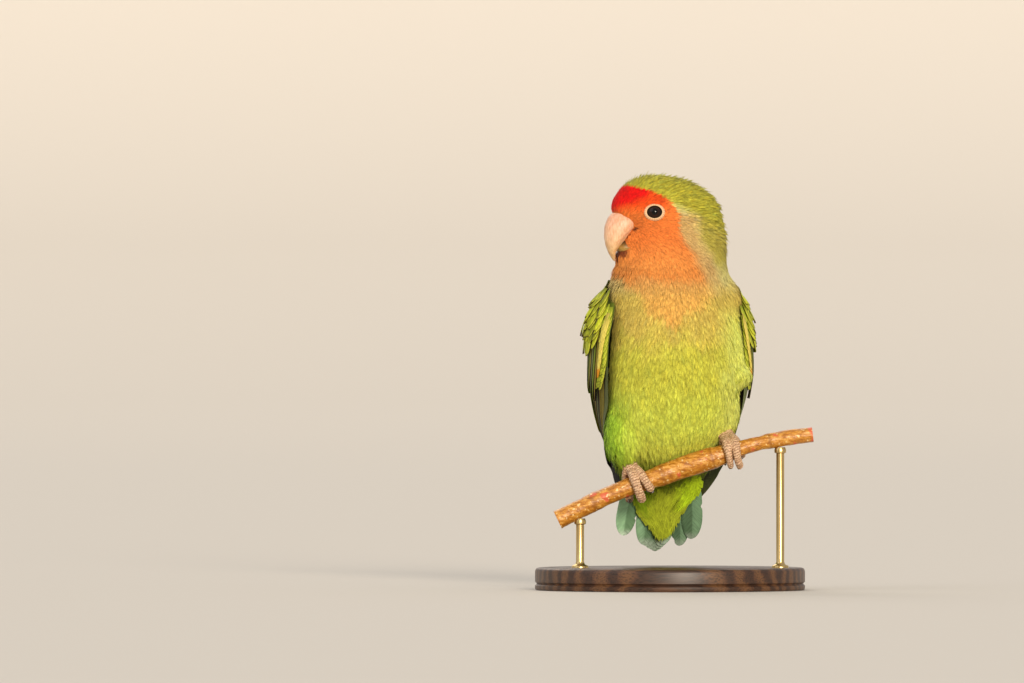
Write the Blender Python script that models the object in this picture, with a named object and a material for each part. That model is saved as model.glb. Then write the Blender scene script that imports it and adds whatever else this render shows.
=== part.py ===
"""Peach-faced lovebird, life size, perched on a short cut branch that a plain display stand holds up.

Every length below is in millimetres and becomes metres when a mesh is made. The row frame has +Z up and its
origin at the middle of the underside of the stand's base. The viewer stands at -Y. The bird's breast faces the
viewer, turned a little to +X, and its head is turned to its own right, towards -X.
"""

import math

import bmesh
import bpy
from mathutils import Matrix, Vector

MM = 0.001
GAP = 0.34  # air between two nodes that touch in life
UP = Vector((0.0, 0.0, 1.0))

# Whole bird
CROWN_Z = 166.6
BODY_YAW = math.radians(10.0)
HEAD_YAW = math.radians(-68.0)
HEAD_X, HEAD_Y = -1.0, -5.0
NECK_TURN_LOW, NECK_TURN_HIGH = 119.0, 134.0  # the heights between which body sections become head sections

# Body sections as the bird faces: height, shift of the middle to its left and its back, half width, depth before
# and behind the middle
BODY_SECTIONS = (
    (34.0, 0.0, 27.6, 8.5, 4.4, 3.0),
    (39.0, 0.0, 24.8, 12.0, 7.6, 5.0),
    (45.0, 0.2, 19.8, 16.5, 12.0, 8.6),
    (52.0, 0.5, 13.5, 21.0, 15.8, 13.6),
    (62.0, 0.8, 6.2, 24.4, 19.6, 19.4),
    (76.0, 1.1, 2.0, 26.3, 23.8, 22.8),
    (92.0, 1.2, 0.0, 26.9, 26.3, 23.9),
    (106.0, 0.9, -1.0, 26.2, 26.0, 22.4),
    (116.0, 0.5, -2.0, 25.4, 24.3, 20.6),
    (124.0, 0.2, -3.0, 24.5, 22.4, 18.8),
    (136.0, 0.0, -4.0, 21.5, 20.0, 17.0),
)
# Head sections: height, half width, depth before and behind the head's own axis
HEAD_SECTIONS = (
    (117.0, 24.5, 24.0, 24.0),
    (126.0, 21.2, 22.6, 24.3),
    (131.0, 19.0, 20.6, 24.4),
    (135.0, 17.4, 18.2, 24.5),
    (140.0, 16.3, 17.6, 24.3),
    (145.0, 15.6, 18.6, 23.6),
    (149.0, 15.1, 20.8, 22.5),
    (152.0, 14.8, 22.4, 21.6),
)
BROW_Z = 152.0  # above this the crown is a dome
CROWN_LEAN = 5.2  # how far the dome's top lies ahead of the head's axis
BODY_SQUARE, HEAD_SQUARE = 2.15, 2.05  # 2 is an ellipse
RING_POINTS = 30
TORSO_RINGS, DOME_RINGS = 25, 7

# Where the one body is parted
NECK_CUT = (Vector((0.0, -2.0, 117.5)), Vector((0.0, 0.25, 1.0)))
HEAD_CUT = (Vector((-1.0, -5.0, 131.0)), Vector((-0.32, -0.1, 1.0)))
TAIL_CUT = (Vector((0.0, 21.5, 45.0)), Vector((0.0, -0.42, 1.0)))

# Bill: the ridge and the cutting edge of each section, as distance ahead of the head's axis and height, then half
# width
UPPER_BILL = (
    ((19.0, 152.6), (15.0, 143.6), 5.6),
    ((22.8, 151.8), (16.8, 142.6), 6.0),
    ((25.4, 149.2), (18.6, 141.2), 5.8),
    ((26.9, 145.6), (20.0, 139.8), 5.2),
    ((27.2, 141.6), (21.2, 138.4), 4.4),
    ((26.6, 137.9), (22.4, 136.6), 3.4),
    ((25.3, 134.5), (22.9, 134.2), 2.1),
    ((23.7, 132.0), (22.9, 132.2), 0.9),
)
BILL_TIP = (22.7, 131.0)
LOWER_BILL = (
    ((13.6, 141.0), (13.4, 133.0), 4.8),
    ((16.4, 140.8), (16.6, 133.0), 4.9),
    ((18.8, 139.4), (19.0, 133.8), 4.2),
    ((20.6, 137.6), (20.6, 135.2), 2.9),
)
LOWER_TIP = (21.5, 136.6)
CERE_SIZE = (2.6, 4.1, 1.5)
CERE_AT = (21.0, 0.0, 151.7)
NOSTRIL_SIDE, NOSTRIL_RADIUS = 2.1, 0.6

# Eyes
EYE_AHEAD, EYE_Z = 11.0, 151.0
EYE_RADIUS = 3.4
EYE_SUNK = 2.15  # how far the ball's middle lies under the head's surface
LID_RADIUS, LID_THICK = 3.35, 0.72

# Thighs: middle, radii
THIGH_RIGHT = ((-18.4, 0.5, 62.8), (8.0, 10.0, 14.0))
THIGH_LEFT = ((20.2, 1.0, 75.5), (8.0, 10.0, 13.0))

# Perch: points of its axis and its radius there, from the cut end on the viewer's left to the one on the right
PERCH_Y = -5.0
PERCH_POINTS = ((-45.0, 28.2, 3.9), (-33.0, 34.0, 3.6), (-20.0, 39.8, 3.55), (-8.0, 44.2, 3.8), (4.0, 48.6, 4.3),
                (12.0, 51.3, 4.55), (20.0, 53.8, 3.9), (28.0, 56.6, 3.15), (36.0, 58.8, 2.85), (46.0, 60.8, 3.1),
                (57.0, 62.2, 3.0))
PERCH_RINGS, PERCH_SIDES = 23, 12
SCARS = (0.12, 0.34, 0.56, 0.84)  # leaf-scar swellings, as shares of the perch's length
SCAR_HEIGHT, SCAR_WIDTH = 0.4, 0.02

# Feet: x of the foot on the perch, then each toe as its shift along the perch, first and last angle round it
# (0 is the viewer's side, 90 is the top), how far its end stands off the perch, and radius
RIGHT_FOOT_X, LEFT_FOOT_X = -13.6, 24.6
RIGHT_TOES = (
    ("toe_3", 0.2, 74.0, -74.0, 0.9, 1.85),
    ("toe_2", 4.7, 72.0, -38.0, 0.2, 1.75),
    ("toe_4", -4.4, 108.0, 236.0, 0.4, 1.75),
    ("toe_1", 3.6, 110.0, 206.0, 0.2, 1.6),
)
LEFT_TOES = (
    ("toe_3", 3.2, 74.0, -76.0, 2.2, 1.85),
    ("toe_2", -1.3, 72.0, -62.0, 0.9, 1.75),
    ("toe_4", 4.4, 108.0, 222.0, 0.4, 1.75),
    ("toe_1", -3.4, 110.0, 206.0, 0.2, 1.6),
)
HUB_LIFT, HUB_RADIUS = 4.3, 2.4
SHANK_RADIUS, SHANK_LENGTH = 2.1, 10.0
CLAW_TURN = 46.0  # degrees round the perch that a claw covers
CLAW_RADIUS = 1.05
TOE_RINGS, TOE_SIDES, CLAW_RINGS = 7, 7, 4

# Wing, left side, in the bird's own frame: its lower edge from wrist to tip, and its upper edge from shoulder to tip
WING_LOWER = ((23.0, -17.0, 119.0), (26.6, -13.5, 105.0), (28.0, -9.5, 90.0), (27.2, -2.0, 76.0),
              (24.8, 8.0, 62.0), (20.6, 22.0, 48.0), (13.6, 36.0, 33.0))
WING_UPPER = ((12.0, 16.0, 123.0), (14.0, 21.5, 109.0), (12.8, 24.4, 93.0), (10.0, 27.4, 78.0),
              (7.6, 30.4, 62.0), (7.4, 34.2, 48.0), (10.2, 37.6, 35.0))
SHOULDER = 0.16  # share of the wing's length over which its top rounds in to the wrist
WING_BULGE = (6.4, 11.0, 11.2, 8.4, 5.0, 2.6, 0.8)
WING_OUT = (1.6, -0.9)  # how much further out the left and the right wing's lower half lie
WING_CLEAR = 1.3  # least height of the feathers' base surface over the body
CORE_END = 0.5  # share of the wing's length that its fleshy arm covers
CORE_HEIGHTS = ((0.0, 0.5), (0.1, 1.5), (0.3, 1.4), (0.46, 0.8), (0.5, 0.4))
CORE_DEPTH = 3.6
VANE_THICK = 0.55
PRIMARY_TIPS = (0.95, 1.0, 0.96, 0.89, 0.81, 0.74)
PRIMARIES_FROM, PRIMARIES_TO = (0.05, 0.42), (0.12, 0.72)  # shares of the wing's width, at roots and at tips
SECONDARIES, TERTIALS, GREAT_COVERTS, MIDDLE_COVERTS = 4, 2, 5, 5

# Tail, in the bird's own frame: the root of its fan and the way it points, then every feather as its side of the
# middle at root and tip, its height towards the back, its length from the root and its width
TAIL_ROOT = Vector((0.0, 22.6, 50.0))
TAIL_WAY = Vector((0.0, 0.40, -0.916)).normalized()
TAIL_START = 6.5  # how far below the root the feathers leave the tail's flesh
TAIL_FEATHERS = (
    (-0.6, -1.9, 0.0, 37.5, 8.4),
    (0.6, 0.6, -0.8, 37.0, 8.4),
    (-1.5, -3.2, -1.6, 36.4, 8.4),
    (1.5, 1.8, -2.4, 35.9, 8.4),
    (-2.5, -4.2, -3.2, 35.2, 8.4),
    (2.5, 2.7, -4.0, 34.6, 8.4),
    (-3.5, -5.0, -4.8, 34.0, 8.4),
    (3.5, 3.6, -5.6, 33.4, 8.2),
    (-4.6, -5.9, -6.4, 32.6, 8.2),
    (4.8, 8.7, -6.4, 33.0, 8.2),
    (-5.8, -14.4, -7.2, 28.6, 8.0),
    (6.2, 12.9, -7.2, 30.2, 8.0),
)
UNDER_COVERTS = (
    (-1.0, -1.6, -8.1, 26.0, 9.0),
    (-5.0, -5.4, -8.5, 22.6, 8.6),
    (4.0, 3.2, -8.9, 23.2, 8.8),
    (-8.5, -8.0, -9.4, 15.6, 8.6),
    (0.5, -1.0, -9.8, 17.6, 8.8),
    (11.5, 9.4, -9.0, 17.0, 9.4),
    (6.0, 5.0, -10.2, 12.4, 8.6),
    (-5.0, -5.0, -10.4, 11.6, 8.6),
)
OVER_COVERTS = (
    (-5.0, -6.0, 0.8, 22.0, 8.0),
    (5.0, 5.4, 0.8, 22.0, 8.0),
    (0.0, -0.4, 1.6, 25.0, 8.4),
    (-3.6, -4.0, 2.4, 15.0, 8.0),
    (3.6, 3.4, 2.4, 15.0, 8.0),
)

# Stand
BASE_RADIUS, BASE_HEIGHT, BASE_BEVEL = 54.0, 9.0, 1.6
BASE_SIDES = 48
ROD_RADIUS, ROD_FOOT = 1.6, 3.0
ROD_X = (-36.0, 44.0)
ROD_HOLE_CLEAR = 0.32

# Colours, in Blender's linear RGB, with roughness and metallic value
FINISHES = {
    "green_plumage": ((0.30, 0.42, 0.05), 0.75, 0.0),
    "face_plumage": ((0.90, 0.20, 0.05), 0.75, 0.0),
    "neck_plumage": ((0.88, 0.40, 0.12), 0.75, 0.0),
    "wing_plumage": ((0.15, 0.30, 0.03), 0.6, 0.0),
    "tail_plumage": ((0.20, 0.42, 0.28), 0.6, 0.0),
    "horn": ((0.86, 0.66, 0.46), 0.35, 0.0),
    "bare_skin": ((0.86, 0.78, 0.70), 0.6, 0.0),
    "eye": ((0.012, 0.007, 0.005), 0.06, 0.0),
    "foot_skin": ((0.50, 0.33, 0.25), 0.65, 0.0),
    "claw": ((0.05, 0.04, 0.035), 0.35, 0.0),
    "bark": ((0.45, 0.22, 0.06), 0.6, 0.0),
    "stand_wood": ((0.16, 0.085, 0.045), 0.35, 0.0),
    "stand_metal": ((0.62, 0.58, 0.50), 0.3, 1.0),
}


def material(name):
    """The Principled material of one finish, made once."""
    if name in bpy.data.materials:
        return bpy.data.materials[name]
    colour, roughness, metallic = FINISHES[name]
    made = bpy.data.materials.new(name)
    made.use_nodes = True
    shader = made.node_tree.nodes["Principled BSDF"]
    shader.inputs["Base Color"].default_value = (*colour, 1.0)
    shader.inputs["Roughness"].default_value = roughness
    shader.inputs["Metallic"].default_value = metallic
    return made


def add_object(name, points, faces, finish):
    """One closed mesh object from points in millimetres, with its faces turned outwards."""
    mesh = bpy.data.meshes.new(name)
    mesh.from_pydata([Vector(p) * MM for p in points], [], faces)
    shell = bmesh.new()
    shell.from_mesh(mesh)
    bmesh.ops.recalc_face_normals(shell, faces=shell.faces)
    if shell.calc_volume(signed=True) < 0:
        bmesh.ops.reverse_faces(shell, faces=shell.faces)
    shell.to_mesh(mesh)
    shell.free()
    mesh.materials.append(material(finish))
    made = bpy.data.objects.new(name, mesh)
    bpy.context.scene.collection.objects.link(made)
    return made


def remove(obj):
    bpy.data.objects.remove(obj)


def largest_body(mesh):
    """Keeps the largest closed surface of a mesh and drops loose scraps and sealed hollows."""
    shell = bmesh.new()
    shell.from_mesh(mesh)
    waiting = set(shell.verts)
    groups = []
    while waiting:
        group, edge = set(), [waiting.pop()]
        while edge:
            vert = edge.pop()
            group.add(vert)
            for other in (e.other_vert(vert) for e in vert.link_edges):
                if other in waiting:
                    waiting.remove(other)
                    edge.append(other)
        groups.append(group)
    groups.sort(key=len, reverse=True)
    loose = [vert for group in groups[1:] for vert in group]
    bmesh.ops.delete(shell, geom=loose, context="VERTS")
    shell.to_mesh(mesh)
    shell.free()


def combine(obj, operation, others, solver="EXACT"):
    """Joins or cuts obj with the other objects, applies the result and removes them."""
    group = bpy.data.collections.new("operands")
    bpy.context.scene.collection.children.link(group)
    for other in others:
        group.objects.link(other)
    step = obj.modifiers.new(operation.lower(), "BOOLEAN")
    step.operation = operation
    step.operand_type = "COLLECTION"
    step.collection = group
    step.solver = solver
    graph = bpy.context.evaluated_depsgraph_get()
    result = bpy.data.meshes.new_from_object(obj.evaluated_get(graph))
    obj.modifiers.clear()
    obj.data = result
    for other in others:
        remove(other)
    bpy.data.collections.remove(group)
    largest_body(obj.data)
    return obj


def joined(name, pieces, finish, solver="EXACT"):
    """One node from several overlapping closed pieces."""
    first, *rest = pieces
    combine(first, "UNION", rest, solver)
    first.name = name
    first.data.name = name
    first.data.materials.clear()
    first.data.materials.append(material(finish))
    return first


def smooth(obj, angle=40.0):
    obj.data.shade_smooth()
    obj.data.set_sharp_from_angle(angle=math.radians(angle))
    return obj


def tube_faces(rings, sides, start_pole=False, end_pole=False):
    """Faces of a closed tube of rings that follow each other in the list of points. A pole is one point beyond an end."""
    faces = []
    for ring in range(rings - 1):
        for side in range(sides):
            a, b = ring * sides + side, ring * sides + (side + 1) % sides
            faces += [(a, b, b + sides), (a, b + sides, a + sides)]  # split alike, so that a grown copy stays clear
    last = (rings - 1) * sides
    pole = rings * sides
    if start_pole:
        faces += [(pole, (side + 1) % sides, side) for side in range(sides)]
        pole += 1
    else:
        faces.append(tuple(reversed(range(sides))))
    if end_pole:
        faces += [(pole, last + side, last + (side + 1) % sides) for side in range(sides)]
    else:
        faces.append(tuple(range(last, last + sides)))
    return faces


def along(points, share):
    """A point, or a tuple of numbers, at a share of the way through evenly spaced points, on a smooth curve."""
    spans = len(points) - 1
    place = min(max(share, 0.0), 1.0) * spans
    i = min(int(place), spans - 1)
    f = place - i
    before, here = points[max(i - 1, 0)], points[i]
    there, after = points[i + 1], points[min(i + 2, spans)]
    out = []
    for p0, p1, p2, p3 in zip(before, here, there, after):
        m1, m2 = (p2 - p0) / 2, (p3 - p1) / 2
        out.append((2 * f**3 - 3 * f**2 + 1) * p1 + (f**3 - 2 * f**2 + f) * m1
                   + (-2 * f**3 + 3 * f**2) * p2 + (f**3 - f**2) * m2)
    return out


def at_height(sections, z):
    """The numbers of a section at a height between the named ones, on a smooth curve through them."""
    z = min(max(z, sections[0][0]), sections[-1][0])
    i = max(k for k in range(len(sections) - 1) if sections[k][0] <= z)
    low, high = sections[i], sections[i + 1]
    span = high[0] - low[0]
    f = (z - low[0]) / span
    out = []
    for k in range(1, len(low)):
        rise = (high[k] - low[k]) / span
        under, over = rise, rise
        if i > 0:
            under = (high[k] - sections[i - 1][k]) / (high[0] - sections[i - 1][0])
        if i + 2 < len(sections):
            over = (sections[i + 2][k] - low[k]) / (sections[i + 2][0] - low[0])
        out.append((2 * f**3 - 3 * f**2 + 1) * low[k] + (f**3 - 2 * f**2 + f) * under * span
                   + (-2 * f**3 + 3 * f**2) * high[k] + (f**3 - f**2) * over * span)
    return out


def ease(x):
    x = min(max(x, 0.0), 1.0)
    return x * x * (3 - 2 * x)


def of_bird(point):
    """A point of the bird's own frame, x to its left and y to its back, in the row frame."""
    return Matrix.Rotation(BODY_YAW, 3, "Z") @ Vector(point)


def of_head(ahead, side, z):
    """A point ahead of the head's axis and to the bird's left of its middle plane, in the row frame."""
    turned = Matrix.Rotation(HEAD_YAW, 3, "Z") @ Vector((side, -ahead, 0.0))
    return Vector((HEAD_X, HEAD_Y, z)) + turned


def reach(angle, half_width, front, back, square):
    """Radius of an egg-shaped section at an angle from the way it faces."""
    depth = front if math.cos(angle) > 0 else back
    return (abs(math.cos(angle) / depth) ** square + abs(math.sin(angle) / half_width) ** square) ** (-1 / square)


def section(z):
    """The middle of the body's section at a height, and its radius as a function of the direction."""
    to_left, set_back, half_width, front, back = at_height(BODY_SECTIONS, z)
    body_middle = of_bird((to_left, set_back, 0.0))
    turn = ease((z - NECK_TURN_LOW) / (NECK_TURN_HIGH - NECK_TURN_LOW))
    dome = max(0.0, (z - BROW_Z) / (CROWN_Z - BROW_Z))
    shrink = math.sqrt(max(0.0, 1 - dome**2))
    head_half, head_front, head_back = (v * shrink for v in at_height(HEAD_SECTIONS, z))
    lean = CROWN_LEAN * dome**1.5
    head_middle = of_head(lean, 0.0, 0.0)
    middle = body_middle.lerp(head_middle, turn)

    def radius(direction):
        body = reach(direction - (BODY_YAW - math.pi / 2), half_width, front, back, BODY_SQUARE)
        head = reach(direction - (HEAD_YAW - math.pi / 2), head_half, head_front, head_back, HEAD_SQUARE)
        return body * (1 - turn) + head * turn

    return middle, radius


def body_ring(z, grow=0.0):
    middle, radius = section(z)
    ring = []
    for k in range(RING_POINTS):
        direction = math.tau * k / RING_POINTS
        spoke = Vector((math.cos(direction), math.sin(direction), 0.0))
        ring.append(middle + spoke * (radius(direction) + grow) + UP * z)
    return ring


def body_heights():
    low = BODY_SECTIONS[0][0]
    straight = [low + (BROW_Z - low) * k / (TORSO_RINGS - 1) for k in range(TORSO_RINGS)]
    dome = [BROW_Z + (CROWN_Z - BROW_Z) * math.sin(math.pi / 2 * k / DOME_RINGS) for k in range(1, DOME_RINGS)]
    return straight + dome


def whole_body(name, grow=0.0):
    """The bird's trunk, neck and head in one closed loft, from the root of the tail to the crown."""
    heights = body_heights()
    points = [p for z in heights for p in body_ring(z, grow)]
    points.append(of_head(CROWN_LEAN, 0.0, CROWN_Z + grow))
    return add_object(name, points, tube_faces(len(heights), RING_POINTS, end_pole=True), "green_plumage")


def lifted_off_body(point, clear):
    """The point moved straight out until it lies at least so far from the body."""
    if not BODY_SECTIONS[0][0] < point.z < CROWN_Z:
        return point
    middle, radius = section(point.z)
    spoke = Vector((point.x, point.y, 0.0)) - middle
    direction = math.atan2(spoke.y, spoke.x)
    least = radius(direction) + clear
    if spoke.length >= least:
        return point
    return middle + spoke.normalized() * least + UP * point.z


def half_space(name, cut, above, offset):
    """A large block on one side of a cutting plane of the row frame, set off from it by half a gap."""
    size = 150.0
    point, normal = of_bird(cut[0]), of_bird(cut[1]).normalized()
    way = normal if above else -normal
    turn = way.to_track_quat("Z", "Y").to_matrix()
    start = point + way * offset
    corners = [(x, y, z) for z in (0.0, size) for x, y in ((-size, -size), (size, -size), (size, size), (-size, size))]
    faces = [(0, 3, 2, 1), (4, 5, 6, 7), (0, 1, 5, 4), (1, 2, 6, 5), (2, 3, 7, 6), (3, 0, 4, 7)]
    return add_object(name, [start + turn @ Vector(c) for c in corners], faces, "green_plumage")


def ellipsoid(name, middle, radii, turn, finish, rings=9, sides=16):
    """A closed ellipsoid in the row frame."""
    points = []
    for ring in range(1, rings):
        polar = math.pi * ring / rings
        for side in range(sides):
            around = math.tau * side / sides
            unit = Vector((math.sin(polar) * math.cos(around), math.sin(polar) * math.sin(around), -math.cos(polar)))
            points.append(middle + turn @ Vector([u * r for u, r in zip(unit, radii)]))
    points.append(middle - turn @ Vector((0.0, 0.0, radii[2])))
    points.append(middle + turn @ Vector((0.0, 0.0, radii[2])))
    return add_object(name, points, tube_faces(rings - 1, sides, True, True), finish)


def tube(name, path, radii, sides, finish, flat=1.0, round_ends=True):
    """A round tube along points of the row frame, with domed ends. flat thins it across the path."""
    points, side_way = [], None
    last = len(path) - 1
    for i, point in enumerate(path):
        way = (path[min(i + 1, last)] - path[max(i - 1, 0)]).normalized()
        side_way = side_way or way.orthogonal()
        side_way = (side_way - way * side_way.dot(way)).normalized()
        other_way = way.cross(side_way)
        for k in range(sides):
            around = math.tau * k / sides
            points.append(point + (side_way * math.cos(around) + other_way * math.sin(around) * flat) * radii[i])
    if round_ends:
        points.append(path[0] - (path[1] - path[0]).normalized() * radii[0] * 0.6)
        points.append(path[-1] + (path[-1] - path[-2]).normalized() * radii[-1] * 0.6)
    return add_object(name, points, tube_faces(len(path), sides, round_ends, round_ends), finish)


def perch_place(share):
    """The perch's axis point and radius at a share of its length."""
    x, z, radius = along(PERCH_POINTS, share)
    return Vector((x, PERCH_Y, z)), radius


def perch_share(x):
    """The share of the perch's length at which it has this x."""
    low, high = 0.0, 1.0
    for _ in range(40):
        middle = (low + high) / 2
        low, high = (middle, high) if perch_place(middle)[0].x < x else (low, middle)
    return low


def perch(name, grow=0.0):
    path, radii = [], []
    for i in range(PERCH_RINGS):
        share = i / (PERCH_RINGS - 1)
        point, radius = perch_place(share)
        swell = sum(math.exp(-(((share - scar) / SCAR_WIDTH) ** 2)) for scar in SCARS)
        path.append(point)
        radii.append(radius + SCAR_HEIGHT * swell * 0.8 + grow)
    return tube(name, path, radii, PERCH_SIDES, "bark", round_ends=False)


def bill(name, sections, tip, finish, grow=0.0):
    """One half of the bill: egg-shaped sections from the ridge to the cutting edge, closed at the tip."""
    sides = 14
    points = []
    ends = [(Vector((ridge[0], 0.0, ridge[1])), Vector((edge[0], 0.0, edge[1]))) for ridge, edge, _ in sections]
    back = (ends[0][0] + ends[0][1] - ends[1][0] - ends[1][1]).normalized() * grow
    for i, (ridge_at, edge_at) in enumerate(ends):
        half_width = sections[i][2]
        middle, half = (ridge_at + edge_at) / 2, (ridge_at - edge_at) / 2
        middle += back if i == 0 else Vector()
        half += half.normalized() * grow
        for k in range(sides):
            around = math.tau * k / sides
            narrow = 1.0 - 0.2 * math.cos(around)  # the ridge is narrower than the edge
            side = (half_width + grow) * math.sin(around) * narrow
            spot = middle + half * math.cos(around)
            points.append(of_head(spot.x, side, spot.z))
    points.append(of_head(tip[0], 0.0, tip[1] - grow))
    return add_object(name, points, tube_faces(len(sections), sides, end_pole=True), finish)


def eye_place(sign):
    """The eye's middle on the head's surface, and the way it looks. sign is 1 on the bird's left."""
    middle, radius = section(EYE_Z)
    depth_at_middle = radius(HEAD_YAW - math.pi / 2)
    half_width = at_height(HEAD_SECTIONS, EYE_Z)[0]
    side = half_width * (1 - (EYE_AHEAD / depth_at_middle) ** HEAD_SQUARE) ** (1 / HEAD_SQUARE)
    surface = of_head(EYE_AHEAD, side * sign, EYE_Z)
    look = (of_head(EYE_AHEAD + 4.6, (side + 10.0) * sign, EYE_Z + 1.2) - surface).normalized()
    return surface, look


def ring_about(name, middle, axis, radius, thick, finish, grow=0.0, rings=14, sides=6):
    """A torus, for an eyelid's rim."""
    turn = axis.to_track_quat("Z", "Y").to_matrix()
    points = []
    for ring in range(rings):
        around = math.tau * ring / rings
        out = Vector((math.cos(around), math.sin(around), 0.0))
        for side in range(sides):
            round_rim = math.tau * side / sides
            spot = out * (radius + (thick + grow) * math.cos(round_rim)) + UP * (thick + grow) * math.sin(round_rim)
            points.append(middle + turn @ spot)
    faces = []
    for ring in range(rings):
        for side in range(sides):
            here, there = ring * sides, (ring + 1) % rings * sides
            step = (side + 1) % sides
            faces.append((here + side, there + side, there + step, here + step))
    return add_object(name, points, faces, finish)


def wing_surface(t, s, sign):
    """Point and outward normal of the folded wing's base surface. t runs from wrist to tip, s from the lower edge up."""
    s = 0.44 + (s - 0.44) * math.sqrt(1 - (1 - min(max(t, 0.002) / SHOULDER, 1.0)) ** 2)

    shift = Vector((WING_OUT[0 if sign > 0 else 1], 0.0, 0.0))

    def raw(t, s):
        out_by = shift * ease((t - 0.2) / 0.35)
        lower, upper = Vector(along(WING_LOWER, t)) + out_by, Vector(along(WING_UPPER, t)) + out_by * 0.5
        bulge = along([(b,) for b in WING_BULGE], t)[0]
        chord = lower.lerp(upper, s)
        across = (upper - lower).normalized()
        length_way = (Vector(along(WING_LOWER, min(t + 0.02, 1.0))) - Vector(along(WING_LOWER, t - 0.02))).normalized()
        out = across.cross(length_way)
        out = out if out.x > 0 else -out
        point = chord + out.normalized() * bulge * 4 * s * (1 - s)
        return lifted_off_body(of_bird((point.x * sign, point.y, point.z)), WING_CLEAR)

    step = 0.02
    point = raw(t, s)
    along_way = raw(min(t + step, 1.0), s) - raw(t - step, s)
    across_way = raw(t, s + step) - raw(t, s - step)
    normal = across_way.cross(along_way).normalized()
    middle = of_bird((0.0, 0.0, 0.0))
    if normal.dot(Vector((point.x - middle.x, point.y - middle.y, 0.0))) < 0:
        normal = -normal
    return point, normal


def vane_shape(f):
    """Share of a vane's full width at a share of its length: a narrow root, long straight edges and a round tip."""
    root = 0.45 + 0.55 * ease(f / 0.3)
    tip = math.sqrt(max(0.0, 1 - max(0.0, (f - 0.72) / 0.28) ** 2))
    return root * max(tip, 0.16)


def vane_faces(stations):
    """Triangles of a thin vane whose section is three points above and three below, split alike on both faces."""
    faces = []
    for i in range(stations - 1):
        here, there = i * 6, (i + 1) * 6
        for j in range(2):
            a, b, c, d = here + j, here + j + 1, there + j + 1, there + j
            faces += [(a, b, c), (a, c, d)]
            faces += [(a + 3, c + 3, b + 3), (a + 3, d + 3, c + 3)]
        faces += [(here, there + 3, here + 3), (here, there, there + 3)]
        faces += [(here + 2, here + 5, there + 5), (here + 2, there + 5, there + 2)]
    end = (stations - 1) * 6
    for base, flip in ((0, False), (end, True)):
        for a, b, c in ((0, 3, 4), (0, 4, 1), (1, 4, 5), (1, 5, 2)):
            corners = (base + a, base + b, base + c)
            faces.append(corners[::-1] if flip else corners)
    return faces


def vane(name, place, width, edge_lifts, finish, stations=6, camber=0.3, thick=VANE_THICK):
    """A feather's vane. place(f) gives its middle line's point, the way up off the surface and the way across."""
    points = []
    for i in range(stations):
        f = i / (stations - 1)
        f = 1 - (1 - f) ** 1.25
        middle, up, across = place(f)
        half = width / 2 * vane_shape(f)
        top = []
        for side, lift in ((-1, edge_lifts[0]), (0, sum(edge_lifts) / 2 + camber), (1, edge_lifts[1])):
            top.append(middle + across * half * side + up * lift * (0.25 + 0.75 * f if f < 1 else 1.0))
        points += [p + up * thick / 2 for p in top]
        points += [p - up * thick / 2 for p in top]
    return add_object(name, points, vane_faces(stations), finish)


def wing_vane(name, sign, root, tip, width, edge_lifts, root_lift=0.0, tip_lift=0.0, stations=6):
    """A vane that lies along the folded wing between two (t, s) places."""

    def place(f):
        t, s = (a + (b - a) * f for a, b in zip(root, tip))
        point, normal = wing_surface(t, s, sign)
        ahead = wing_surface(min(t + 0.015, 1.0), s + (tip[1] - root[1]) * 0.02, sign)[0]
        behind = wing_surface(t - 0.015, s - (tip[1] - root[1]) * 0.02, sign)[0]
        way = (ahead - behind).normalized()
        across = normal.cross(way).normalized()
        if across.dot(wing_surface(t, s + 0.05, sign)[0] - point) < 0:
            across = -across
        return point + normal * (root_lift + (tip_lift - root_lift) * f), normal, across

    return vane(name, place, width, edge_lifts, "wing_plumage", stations)


def wing_core(name, sign):
    """The arm and hand under the coverts: a thick shell over the wing's first half."""
    lengths, widths = 7, 6
    heights = [h for _, h in CORE_HEIGHTS]
    places = [t for t, _ in CORE_HEIGHTS]

    def height(t):
        for i in range(len(places) - 1):
            if t <= places[i + 1] + 1e-6:
                f = (t - places[i]) / (places[i + 1] - places[i])
                return heights[i] + (heights[i + 1] - heights[i]) * f
        return heights[-1]

    points = []
    for i in range(lengths):
        t = CORE_END * (i / (lengths - 1)) ** 0.9
        top, bottom = [], []
        for j in range(widths):
            s = 0.02 + 0.96 * j / (widths - 1)
            point, normal = wing_surface(max(t, 0.005), s, sign)
            edge = math.sin(math.pi * j / (widths - 1)) ** 0.5
            top.append(point + normal * (height(t) * edge + 0.1))
            bottom.append(point - normal * (0.3 + CORE_DEPTH * edge * (1 - 0.7 * t / CORE_END)))
        points += top + bottom[::-1]
    return add_object(name, points, tube_faces(lengths, widths * 2), "wing_plumage")


def spread(low, high, count, k):
    return low + (high - low) * (k / (count - 1) if count > 1 else 0.5)


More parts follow.
